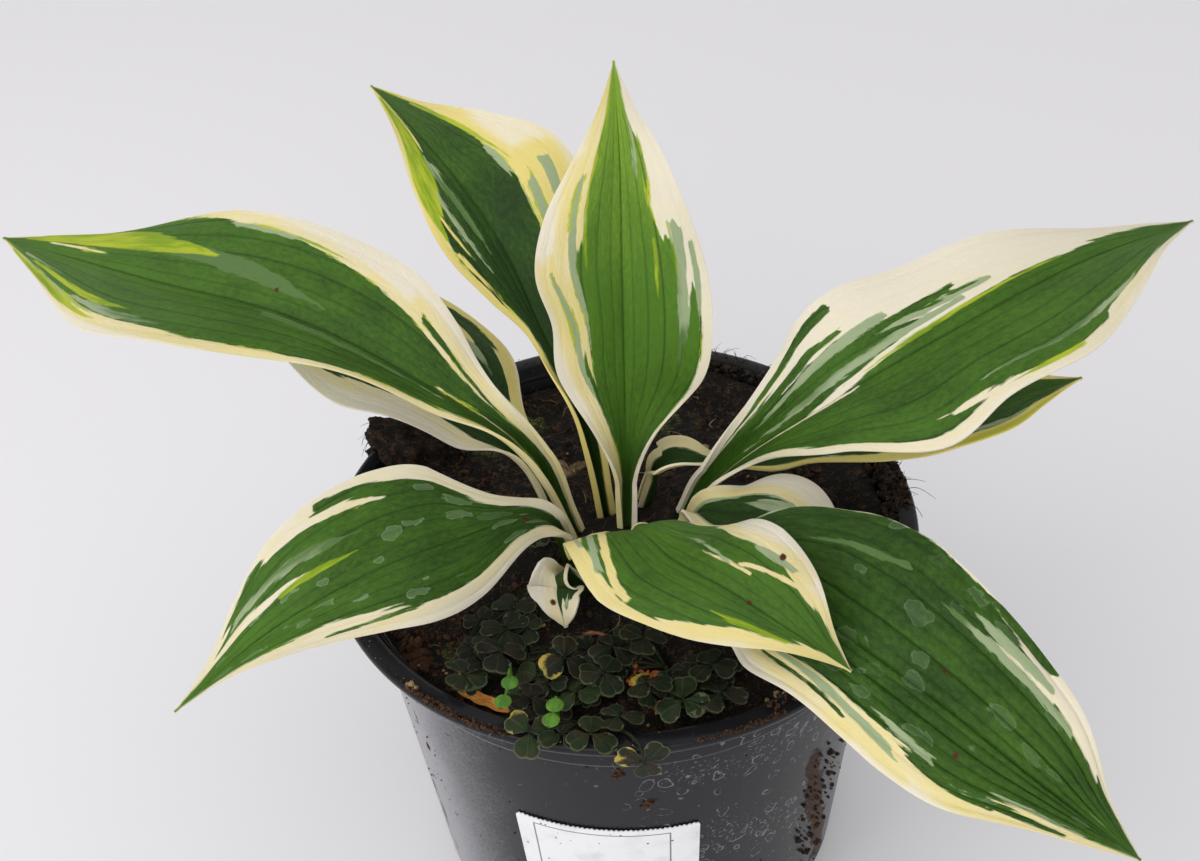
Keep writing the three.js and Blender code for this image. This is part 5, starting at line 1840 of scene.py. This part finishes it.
@dataclass(frozen=True)
class Weed:
    """One creeping stem with its three-part leaves; each leaf is (x, y, height over the bed)."""

    name: str
    root: Pair
    runner: tuple[Pair, ...]
    leaves: tuple[Triple, ...]
    over_rim: Triple | None = None
    leaflet_length: float = 7.6
    leaflet_thickness: float = 0.45
    runner_radius: float = 0.8
    runner_lift: float = 1.3
    stalk_radius: float = 0.5
    undergrowth: int = 3
    lower_reach: Pair = (4.5, 11.0)
    lower_height: Pair = (0.3, 0.55)
    lower_size: Pair = (0.55, 0.8)
    lower_tilt: Pair = (-0.25, 0.25)
    bright: float = 0.3

    def build(self, material: Material, draw: Draw, own: Draw) -> Piece:
        """Builds the stem and its leaves.

        Args:
            material: the weed's finish.
            draw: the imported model's draws, so that the leaves turn the same way.
            own: further draws for colour, curl and small lower leaves.

        Returns:
            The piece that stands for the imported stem.
        """
        plant = blank_mesh("tone", "autumn", "across", "along")
        path = [over_soil(*self.root, -8.0), over_soil(*self.root, self.runner_lift)]
        path += [over_soil(*point, self.runner_lift) for point in self.runner]
        add_loft(plant, 8, 10 * len(path), tube_shape(path, (self.runner_radius, self.runner_radius * 0.7)),
                 {"tone": 0.4, "autumn": 0.3, "across": 0.5, "along": 0.2})
        for x, y, height in self.leaves:
            head = over_soil(x, y, height)
            turn, tilt = 2 * math.pi * draw(), math.radians(8 + 14 * draw())
            tilt_axis = 2 * math.pi * draw()
            size = self.leaflet_length * (0.85 + 0.25 * draw())
            pose = (
                Matrix.Translation(head) @ turn_z(tilt_axis) @ Matrix.Rotation(tilt, 4, "X")
                @ turn_z(turn - tilt_axis)
            )
            self.add_stalk(plant, path, head, height)
            self.add_leaf(plant, pose, size, own)
            for _ in range(self.undergrowth):
                self.add_lower_leaf(plant, path, (x, y, height), own)
        if self.over_rim:
            self.add_hanging_leaf(plant, path[-1])
        return finish_piece(self.name + "_grown", plant, material, [self.name])

    def add_stalk(self, plant: Mesh, path: Sequence[Vector], head: Vector, height: float) -> None:
        """Adds the thin stalk from the nearest point of the stem up to a leaf.

        Args:
            plant: where it goes.
            path: the stem's points.
            head: the stalk's upper end.
            height: how high over the bed that is.
        """
        foot = min(path[1:], key=lambda point: (point - head).length)
        bend = foot.lerp(head, 0.45) + Vector((0, 0, height * 0.45))
        curve = [foot.lerp(bend, t).lerp(bend.lerp(head, t), t) for t in (0, 0.25, 0.5, 0.75, 1)]
        curve[-1] = head - Vector((0, 0, 0.1))
        add_loft(plant, 6, 10, tube_shape(curve, (self.stalk_radius, self.stalk_radius * 0.7)),
                 {"tone": 0.7, "autumn": 0.2, "across": 0.5, "along": 0.2})

    def add_lower_leaf(
        self, plant: Mesh, path: Sequence[Vector], over: Triple, own: Draw
    ) -> None:
        """Adds a smaller leaf lower down beside a tall one, where there is room inside the pot.

        Args:
            plant: where it goes.
            path: the stem's points.
            over: the tall leaf's place and height.
            own: repeatable draws.
        """
        azimuth, reach = 2 * math.pi * own(), own.between(*self.lower_reach)
        x, y = over[0] + reach * math.cos(azimuth), over[1] + reach * math.sin(azimuth)
        height = max(2.4, over[2] * own.between(*self.lower_height))
        if math.hypot(x, y) > LIP_INNER_RADIUS - 12:
            x, y = x * 0.88, y * 0.88
        head = over_soil(x, y, height)
        pose = (
            Matrix.Translation(head) @ Matrix.Rotation(own.between(*self.lower_tilt), 4, "X")
            @ Matrix.Rotation(own.between(*self.lower_tilt), 4, "Y") @ turn_z(2 * math.pi * own())
        )
        self.add_stalk(plant, path, head, height)
        self.add_leaf(plant, pose, self.leaflet_length * own.between(*self.lower_size), own)

    def add_leaf(self, plant: Mesh, pose: Matrix, size: float, own: Draw) -> None:
        """Adds three heart-shaped leaflets round a stalk's end.

        Args:
            plant: where they go.
            pose: the stalk's end, with Z up through the leaf.
            size: their length in millimetres.
            own: repeatable draws.
        """
        tone = own.between(0.0, 0.75) if own() > self.bright else own.between(0.7, 1.0)
        for part in range(3):
            turn = turn_z(2 * math.pi * part / 3)
            autumn = own.between(0.6, 0.9) if own() > 0.95 else own.between(0.0, 0.35)
            self.add_leaflet(
                plant, pose @ turn, size * own.between(0.92, 1.04), own.between(-0.05, 0.28),
                own.between(-0.28, 0.12), tone, autumn)

    def add_leaflet(
        self, plant: Mesh, pose: Matrix, size: float, droop: float, fold: float, tone: float,
        autumn: float,
    ) -> None:
        """Adds one heart-shaped leaflet.

        Args:
            plant: where it goes.
            pose: the leaf's place, with +X out along the leaflet.
            size: its length in millimetres.
            droop: how far its tip hangs, in lengths.
            fold: how steeply its halves fall from the middle line, below 0, or rise.
            tone: its colour, from dark to bright.
            autumn: how far it has turned.
        """

        def outline(across: np.ndarray, along: np.ndarray) -> tuple[np.ndarray, ...]:
            """Points of the leaflet's upper face."""
            side = np.abs(across)
            reach = size * along * (0.93 + 0.55 * side - 0.85 * side**2)
            angle = across * math.radians(50)
            x, y = 0.05 * size + reach * np.cos(angle), reach * np.sin(angle)
            cup = 0.35 * (y / size) ** 2 * size
            z = -droop * (x / size) ** 2 * size + fold * np.abs(y) - cup * droop
            z += 0.02 * size * np.sin(across * 9 + along * 5)
            return x, y, z

        add_loft(
            plant, 20, 8, blade_shape(outline, self.leaflet_thickness, pose),
            {"tone": tone, "autumn": autumn, "across": across_blade, "along": lambda _around, along: along})

    def add_hanging_leaf(self, plant: Mesh, foot: Vector) -> None:
        """Adds the leaf that hangs over the pot's rim, with its long stalk.

        Args:
            plant: where it goes.
            foot: where the stalk starts.
        """
        tip = Vector(self.over_rim)
        crest = tip * 0.96
        crest.z = POT_HEIGHT + 8
        curve = [foot.lerp(crest, t).lerp(crest.lerp(tip, t), t) for t in (0, 0.2, 0.4, 0.6, 0.8, 1)]
        add_loft(plant, 6, 16, tube_shape(curve, (self.stalk_radius, self.stalk_radius * 0.8)),
                 {"tone": 0.8, "autumn": 0.3, "across": 0.5, "along": 0.2})
        pose = (
            Matrix.Translation(tip) @ turn_z(math.atan2(tip.y, tip.x))
            @ Matrix.Rotation(math.pi / 2, 4, "Y") @ turn_z(0.2)
        )
        for part, autumn in ((0, 0.45), (1, 0.2), (2, 0.75)):
            turn = turn_z(2 * math.pi * part / 3)
            self.add_leaflet(plant, pose @ turn, self.leaflet_length, 0.1, -0.1, 0.55, autumn)


def creeping_weeds() -> list[Weed]:
    """The five creeping stems."""
    return [
        Weed("weed_stem_left", (-49, -48), ((-44, -54), (-40, -62)),
             ((-48, -67, 11), (-38, -58, 9), (-46, -60, 4), (-37, -47, 6), (-35, -38, 4))),
        Weed("weed_stem_middle", (-24, -53), ((-20, -60), (-19, -70), (-24, -76)),
             ((-19, -62, 8), (-16, -72, 7), (-29, -75, 8), (-8, -69, 10), (-27, -64, 4)), bright=0.2),
        Weed("weed_stem_front", (-14, -77), ((-12, -80),),
             ((-29, -89, 12), (-20, -90, 11), (-12, -92, 13), (-4, -85, 11)), over_rim=(2, -97, 147),
             undergrowth=0, bright=0.4),
        Weed("weed_stem_right", (10, -61), ((12, -66), (16, -73), (22, -76)),
             ((4, -56, 9), (4, -73, 9), (14, -79, 9), (25, -78, 10), (23, -67, 8), (-5, -57, 6)),
             bright=0.15),
        Weed("weed_stem_crown", (-34, 4), ((-32, 0),), ((-29, -2, 5),), undergrowth=0, bright=0.0),
    ]


@dataclass(frozen=True)
class SeedLeafFinish:
    """A living seed leaf, grown: thin, smooth and bright, with light glowing through it."""

    green: str = "#36660a"
    light: str = "#4f800c"

    def build(self) -> Material:
        """Builds the material."""
        # Mottling of 3 mm on leaves of 5 mm
        look = Recipe("living_seed_leaf", (), {"clouds": (300.0, 2.0, 0.5)})
        colour = look.layered(self.green, (self.light, "clouds", 0.3, 0.7))
        return look.finish(colour, (0.2, 0.0003, look.of["clouds"]), {
            "Roughness": 0.5, "Subsurface Weight": 0.25, "Subsurface Scale": 0.002})


@dataclass(frozen=True)
class Seedling:
    """A young stem with two round seed leaves."""

    name: str
    root: Pair
    leaves: tuple[Pair, ...]
    height: float
    radius: float = 2.5
    dome: float = 0.4
    bend: float = 3.0

    def build(self, material: Material) -> Piece:
        """Builds the seedling.

        Args:
            material: its finish.

        Returns:
            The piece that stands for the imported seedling.
        """
        plant = bmesh.new()
        ground = soil_height(*self.root)
        level = ground + self.height
        first, second = (Vector((x, y, level)) for x, y in self.leaves)
        top = first.lerp(second, 0.5)
        heights = (ground - 6, ground + self.height * 0.4, level - self.bend)
        stem = [*((*self.root, height) for height in heights), top]
        add_loft(plant, 8, 20, tube_shape(stem, (0.7, 0.6, 0.5, 0.5)))
        for x, y in self.leaves:
            centre = Vector((x, y, ground + self.height + 0.4))
            heading = math.atan2(centre.y - top.y, centre.x - top.x)
            add_loft(plant, 6, 6, tube_shape([top, (top + centre) / 2, centre], (0.45, 0.4)))
            self.add_seed_leaf(plant, Matrix.Translation(centre) @ turn_z(heading))
        return finish_piece(self.name + "_grown", plant, material, [self.name])

    def add_seed_leaf(self, plant: Mesh, pose: Matrix) -> None:
        """Adds one round leaf, with a shallow groove from its stalk and a small notch at its tip.

        Args:
            plant: where it goes.
            pose: its middle, with X toward its tip.
        """

        def outline(across: np.ndarray, along: np.ndarray) -> tuple[np.ndarray, ...]:
            """Points of the leaf's upper face."""
            run = 2 * along - 1
            half = np.sqrt(np.clip(1 - run**2, 0, 1))
            notch = 0.12 * np.exp(-((across / 0.25) ** 2)) * smooth_step((run - 0.6) / 0.4)
            x = self.radius * (run - notch)
            y = self.radius * half * across
            z = self.dome * (1 - (x**2 + y**2) / self.radius**2) - 0.25 * np.exp(-((y / 0.4) ** 2))
            return x, y, z

        add_loft(plant, 32, 16, blade_shape(outline, 0.5, pose))


def young_seedlings() -> list[Seedling]:
    """The two seedlings among the weeds."""
    return [
        Seedling("seedling_left", (-35, -66), ((-34.5, -73.7), (-36.3, -80.4)), 13),
        Seedling("seedling_right", (-21.5, -79), ((-21.6, -84.5), (-22.7, -89.6)), 16),
    ]


@dataclass(frozen=True)
class DriedFinish:
    """Dead plant matter, air dried: papery and matt, streaked lengthways and clouded."""

    light: str
    dark: str
    grain: Triple = (600.0, 600.0, 600.0)

    def build(self, name: str) -> Material:
        """Builds the material.

        Args:
            name: what dried, and how.

        Returns:
            The material.
        """
        # Fibres at a real one's width show as streaks of 0.6 to 1.7 mm; the clouds are 3 mm
        look = Recipe(name, (), {"streak": (1.0, 4.0, 0.6, self.grain), "clouds": (350.0, 2.0, 0.5)})
        colour = look.layered(self.dark, (self.light, (("streak", 1.0), ("clouds", 0.8)), -0.3, 0.3))
        return look.finish(colour, (0.8, 0.0004, look.of["streak"]), {
            "Roughness": 0.75, "Subsurface Weight": 0.08, "Subsurface Scale": 0.001})


@dataclass(frozen=True)
class DriedScraps:
    """The dead scraps on the bed: a leaf strip, a twig, two flowers and a bud sheath."""

    strip_from: Pair = (-51.0, -65.0)
    strip_to: Pair = (-36.0, -74.0)
    strip_width: float = 3.6
    twig_from: Pair = (-14.0, -47.0)
    twig_to: Pair = (-3.0, -50.0)
    twig_radius: float = 0.8
    seed: int = 97

    def build(self) -> list[Piece]:
        """Builds the five scraps."""
        draw = Draw(self.seed)
        straw = DriedFinish("#e6a64c", "#b8742c", (90.0, 1500.0, 1500.0)).build("air_dried_leaf_strip")
        bark = DriedFinish("#9a6a45", "#4c2c1a", (150.0, 1800.0, 1800.0)).build("air_dried_twig")
        flower = DriedFinish("#c8772f", "#6e3412").build("air_dried_flower")
        sheath = DriedFinish("#a38c6c", "#57442f").build("air_dried_bud_sheath")
        return [
            self.build_strip(straw),
            self.build_twig(bark),
            self.build_tuft("dried_flower_right", (3, -66), 4, 7.0, 1.2, flower, draw),
            self.build_tuft("dried_flower_front", (7, -76), 3, 6.0, 1.2, flower, draw),
            self.build_tuft("dried_sheath", (-17, 25), 3, 9.0, 1.8, sheath, draw),
        ]

    def build_strip(self, material: Material) -> Piece:
        """Builds the curled strip of dead leaf.

        Args:
            material: its finish.

        Returns:
            The new piece.
        """
        start, end = Vector(self.strip_from), Vector(self.strip_to)
        side = Vector((-(end - start).y, (end - start).x)).normalized()
        ground = max(soil_height(*start.lerp(end, s / 4)) for s in range(5))

        def outline(across: np.ndarray, along: np.ndarray) -> tuple[np.ndarray, ...]:
            """Points of the strip's upper face."""
            half = 0.35 + self.strip_width / 2 * np.sin(np.pi * (0.08 + 0.84 * along))
            half = half * (1 + 0.12 * np.sin(along * 17) * np.sign(across))
            x = start.x + (end.x - start.x) * along - side.x * half * across
            y = start.y + (end.y - start.y) * along - side.y * half * across
            ridges = 0.12 * np.sin(across * 14) + 0.15 * np.sin(along * 11 + across * 2)
            return x, y, 1.0 + 0.6 * np.sin(np.pi * along) + 0.7 * across**2 + ridges

        strip = bmesh.new()
        add_loft(strip, 32, 40, blade_shape(outline, 0.5, Matrix.Translation((0, 0, ground))))
        return finish_piece("dead_leaf_strip", strip, material, ["dried_strip"])

    def build_twig(self, material: Material) -> Piece:
        """Builds the thin bent twig, with small knots.

        Args:
            material: its finish.

        Returns:
            The new piece.
        """
        lift = self.twig_radius + 0.5
        ends = [Vector((x, y, soil_height(x, y) + lift)) for x, y in (self.twig_from, self.twig_to)]
        middle = ends[0].lerp(ends[1], 0.5) + Vector((0, 0.5, 0.8))
        quarter = ends[0].lerp(middle, 0.5) + Vector((0, 0.3, 0.2))
        radii = [self.twig_radius * knot for knot in (0.9, 0.65, 1, 0.6, 0.75, 0.5, 0.7)]
        twig = bmesh.new()
        add_loft(twig, 10, 30, tube_shape([ends[0], quarter, middle, ends[1]], radii))
        return finish_piece("dead_twig", twig, material, ["dried_twig"])

    def build_tuft(
        self, node: str, place: Pair, petals: int, length: float, lift: float,
        material: Material, draw: Draw,
    ) -> Piece:
        """Builds a tuft of crumpled petals that fan out from one place.

        Args:
            node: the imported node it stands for.
            place: where it lies on the bed.
            petals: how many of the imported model's petals it has.
            length: their length in millimetres.
            lift: how far its middle is over the bed.
            material: its finish.
            draw: repeatable draws.

        Returns:
            The new piece.
        """
        tuft = bmesh.new()
        centre = Matrix.Translation((*place, soil_height(*place) + lift))
        for petal in range(petals * 2):
            second = petal >= petals
            pose = (
                centre @ turn_z(2 * math.pi * petal / petals + 0.4 + 0.5 * second)
                @ Matrix.Rotation(math.radians(-10 - 12 * (petal % 3) - 8 * second), 4, "Y")
                @ Matrix.Rotation(math.radians(25 if petal % 2 else -20), 4, "X")
            )
            self.add_petal(tuft, pose, length * (0.7 if second else 1.0), draw())
        return finish_piece(node + "_dead", tuft, material, [node])

    def add_petal(self, tuft: Mesh, pose: Matrix, length: float, shift: float) -> None:
        """Adds one curled, creased petal.

        Args:
            tuft: where it goes.
            pose: its foot, with X out along it.
            length: its length in millimetres.
            shift: moves its creases.
        """

        def outline(across: np.ndarray, along: np.ndarray) -> tuple[np.ndarray, ...]:
            """Points of the petal's upper face."""
            half = length * 0.25 * np.sin(np.pi * (0.08 + 0.87 * along))
            x = length * along - 1.0
            y = half * (1 + 0.2 * np.sin(along * 9 + shift * 6)) * across
            crease = 0.06 * np.sin(across * 7 + shift * 9)
            crease += 0.05 * np.sin(along * 13 + across * 3 + shift * 5)
            return x, y, length * (crease * along + 0.1 * across**2 * np.sin(np.pi * along))

        add_loft(tuft, 24, 16, blade_shape(outline, 0.4, pose))


@dataclass(frozen=True)
class LabelFinish:
    """Matt coated paper, cut and stuck on: off white, a little creased, with a thin plain ruled frame.

    Fine specks of soil and damp marks lie on it.
    """

    paper: str = "#e6e6e8"
    grey: str = "#cfcecf"
    ink: str = "#2e2e31"
    speck: str = "#5b4634"
    rule: float = 0.5

    def build(self, frame_lines: Sequence[tuple[int, float]]) -> Material:
        """Builds the material.

        Args:
            frame_lines: for each rule, which axis it crosses and where, in millimetres.

        Returns:
            The material.
        """
        # One unit of the map is 100 mm: damp marks of 11 mm, fibres of 0.25 mm and specks 3 mm apart
        look = Recipe("matt_coated_paper_label", (), {
            "damp": (9.0, 4.0, 0.5), "fibre": (400.0, 2.0, 0.5)}, "paper")
        printed = add_node(look.tree, "Math", {
            "operation": "MULTIPLY", 0: self.frame_mask(look, frame_lines), 1: 0.8})
        specks = look.specks(34.0, (0.17, 0.1), (0.6, 0.64))
        colour = look.layered(
            self.paper, (self.grey, "damp", 0.45, 0.8), (self.ink, printed), (self.speck, specks))
        height = look.summed(("fibre", 0.3), ("damp", 1.5), (specks, 1.0))
        return look.finish(colour, (0.25, 0.0003, height), {"Roughness": 0.55})

    def frame_mask(self, look: Recipe, frame_lines: Sequence[tuple[int, float]]) -> Socket:
        """The rules of the frame, each cut off where the frame ends.

        Args:
            look: the label's material.
            frame_lines: as for build().

        Returns:
            Their share.
        """
        parts = add_node(look.tree, "SeparateXYZ", {"Vector": look.place}).node.outputs
        half, soft = self.rule / 2 * MAP_UNIT, 0.06 * MAP_UNIT
        total: Socket | None = None
        for axis, at in frame_lines:
            off = add_node(look.tree, "Math", {"operation": "SUBTRACT", 0: parts[axis], 1: at * MAP_UNIT})
            away = add_node(look.tree, "Math", {"operation": "ABSOLUTE", 0: off})
            line = look.share(away, half + soft, half - soft)
            ends = [place for other, place in frame_lines if other != axis]
            for end, sign in ((min(ends), 1), (max(ends), -1)):
                past = add_node(look.tree, "Math", {
                    "operation": "MULTIPLY_ADD", 0: parts[1 - axis], 1: sign, 2: -sign * end * MAP_UNIT})
                line = add_node(look.tree, "Math", {
                    "operation": "MULTIPLY", 0: line, 1: look.share(past, -0.002, -0.001)})
            total = line if total is None else add_node(
                look.tree, "Math", {"operation": "MAXIMUM", 0: total, 1: line})
        return total


@dataclass(frozen=True)
class Label:
    """The blank paper label on the pot's wall, with a finely nicked upper edge."""

    from_degrees: float = -118.0
    to_degrees: float = -77.0
    top: float = 94.0
    height: float = 50.0
    thickness: float = 0.35
    lift: float = 0.4
    columns: int = 240
    rows: int = 30
    nick: float = 0.6
    frame_lines: tuple[tuple[int, float], ...] = ((0, 6.0), (0, 49.0), (1, 3.2), (1, 44.0))

    def build(self, finish: LabelFinish) -> Piece:
        """Builds the label.

        Args:
            finish: its paper.

        Returns:
            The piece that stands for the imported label.
        """
        sheet = bmesh.new()
        bmesh.ops.create_grid(sheet, x_segments=self.columns, y_segments=self.rows, size=1.0)
        uv = sheet.loops.layers.uv.new("paper")
        width = math.radians(self.to_degrees - self.from_degrees) * wall_radius(self.top)
        for face in sheet.faces:
            for loop in face.loops:
                a, b, _ = loop.vert.co
                loop[uv].uv = ((a + 1) / 2 * width * MAP_UNIT, (1 - b) / 2 * self.height * MAP_UNIT)
        bottom = bmesh.ops.extrude_face_region(sheet, geom=list(sheet.faces), use_keep_orig=True)["geom"]
        outside = {item for item in bottom if isinstance(item, bmesh.types.BMVert)}
        for vert in sheet.verts:
            a, b, _ = vert.co
            along = (a + 1) / 2
            corner = min(1.0, min(along, 1 - along) * width / 1.5)
            z = self.top - self.height * (1 - b) / 2
            if b > 0.98:
                z -= self.nick * (0.5 + 0.5 * math.sin(along * width * 4.2))
                z -= 0.25 * noise.noise((along * 37, 0, 0)) + (1 - corner) ** 2 * 1.2
            angle = math.radians(self.from_degrees + (self.to_degrees - self.from_degrees) * along)
            crease = 0.05 * noise.noise(Vector((along * 6, z / 9, 2.0)))
            radius = wall_radius(z) + self.lift + crease + (self.thickness if vert in outside else 0)
            vert.co = (radius * math.cos(angle), radius * math.sin(angle), z)
        return finish_piece("paper_label", sheet, finish.build(self.frame_lines), ["label"])


@dataclass(frozen=True)
class Studio:
    """The plain pale floor, the soft light and the camera at the photograph's viewing angle.

    The camera stands in front of the pot and looks down on the middle of its rim, in degrees of
    elevation. It is then panned right, tilted up and rolled by a few degrees.
    """

    camera_distance: float = 457.2
    elevation: float = 42.8
    pan: float = -0.93
    tilt: float = 3.44
    roll: float = -3.85
    lens: float = 42.0
    floor_size: float = 6.0
    floor_colour: str = "#e9e8ea"

    def build(self) -> None:
        """Sets up the whole studio."""
        self.build_floor()
        self.build_lights()
        self.build_camera()

    def build_floor(self) -> None:
        """Builds a plain pale floor just under the pot's foot."""
        material = Recipe("matte_painted_studio_floor").finish(
            self.floor_colour, (), {"Roughness": 0.95, "Specular IOR Level": 0.1})
        sheet = bmesh.new()
        bmesh.ops.create_grid(sheet, x_segments=1, y_segments=1, size=self.floor_size)
        mesh = bpy.data.meshes.new("studio_floor")
        sheet.to_mesh(mesh)
        sheet.free()
        mesh.materials.append(material)
        floor = bpy.data.objects.new("studio_floor", mesh)
        floor.location.z = -0.0002
        bpy.context.scene.collection.objects.link(floor)

    def build_lights(self) -> None:
        """Adds a pale surround and large soft lamps."""
        scene = bpy.context.scene
        scene.view_settings.view_transform = "Standard"
        world = bpy.data.worlds.new("pale_surround")
        world.use_nodes = True
        surround = world.node_tree.nodes["Background"]
        surround.inputs["Color"].default_value = linear("#eeedee")
        surround.inputs["Strength"].default_value = 0.84
        scene.world = world
        self.add_lamp("window_light", (-1.3, -0.7, 1.3), 1.4, 12.0)
        self.add_lamp("top_light", (0.2, 0.1, 1.9), 1.8, 1.5)
        self.add_lamp("front_fill", (-0.2, -1.6, 0.9), 1.2, 8.0)

    def add_lamp(self, name: str, place: Triple, size: float, power: float) -> None:
        """Adds a square lamp that looks at the plant.

        Args:
            name: the lamp's name.
            place: where it is, in metres.
            size: its side in metres.
            power: its power in watts.
        """
        lamp = bpy.data.lights.new(name, "AREA")
        lamp.size = size
        lamp.energy = power
        holder = bpy.data.objects.new(name, lamp)
        holder.location = place
        aim = Vector((0.0, 0.0, 0.15)) - Vector(place)
        holder.rotation_euler = aim.to_track_quat("-Z", "Y").to_euler()
        bpy.context.scene.collection.objects.link(holder)

    def build_camera(self) -> None:
        """Adds the camera for a frame of 1200 by 861 pixels, whose size it does not set."""
        view = bpy.data.cameras.new("photo_view")
        view.sensor_fit = "HORIZONTAL"
        view.sensor_width = 36.0
        view.lens = self.lens
        view.clip_start = 0.01
        camera = bpy.data.objects.new("photo_view", view)
        down = math.radians(self.elevation)
        away = Vector((0, -math.cos(down), math.sin(down))) * self.camera_distance
        place = Vector((0, 0, POT_HEIGHT)) + away
        facing = Matrix.Rotation(math.radians(90 + self.tilt) - down, 4, "X")
        camera.matrix_world = (
            Matrix.Translation(place * MM) @ turn_z(-math.radians(self.pan)) @ facing
            @ turn_z(math.radians(self.roll)))
        bpy.context.scene.collection.objects.link(camera)
        bpy.context.scene.camera = camera


def main() -> None:
    """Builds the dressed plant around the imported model."""
    logging.basicConfig(level=logging.INFO, format="%(name)s %(message)s")
    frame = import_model()
    LOG.info("packed nodes: %d", len(frame["nodes"]))
    Studio().build()
    leaves = list(hosta_leaves())
    for leaf in leaves:
        leaf.build(LeafFinish())
    Pot().build(PotFinish())
    peat = PeatFinish()
    Soil().build(peat, leaves)
    LooseBits().build(peat)
    shared, own, sorrel = Draw(), Draw(23), WeedFinish().build()
    for weed in creeping_weeds():
        weed.build(sorrel, shared, own)
    seed_leaf = SeedLeafFinish().build()
    for seedling in young_seedlings():
        seedling.build(seed_leaf)
    DriedScraps().build()
    Label().build(LabelFinish())


if __name__ == "__main__":
    main()
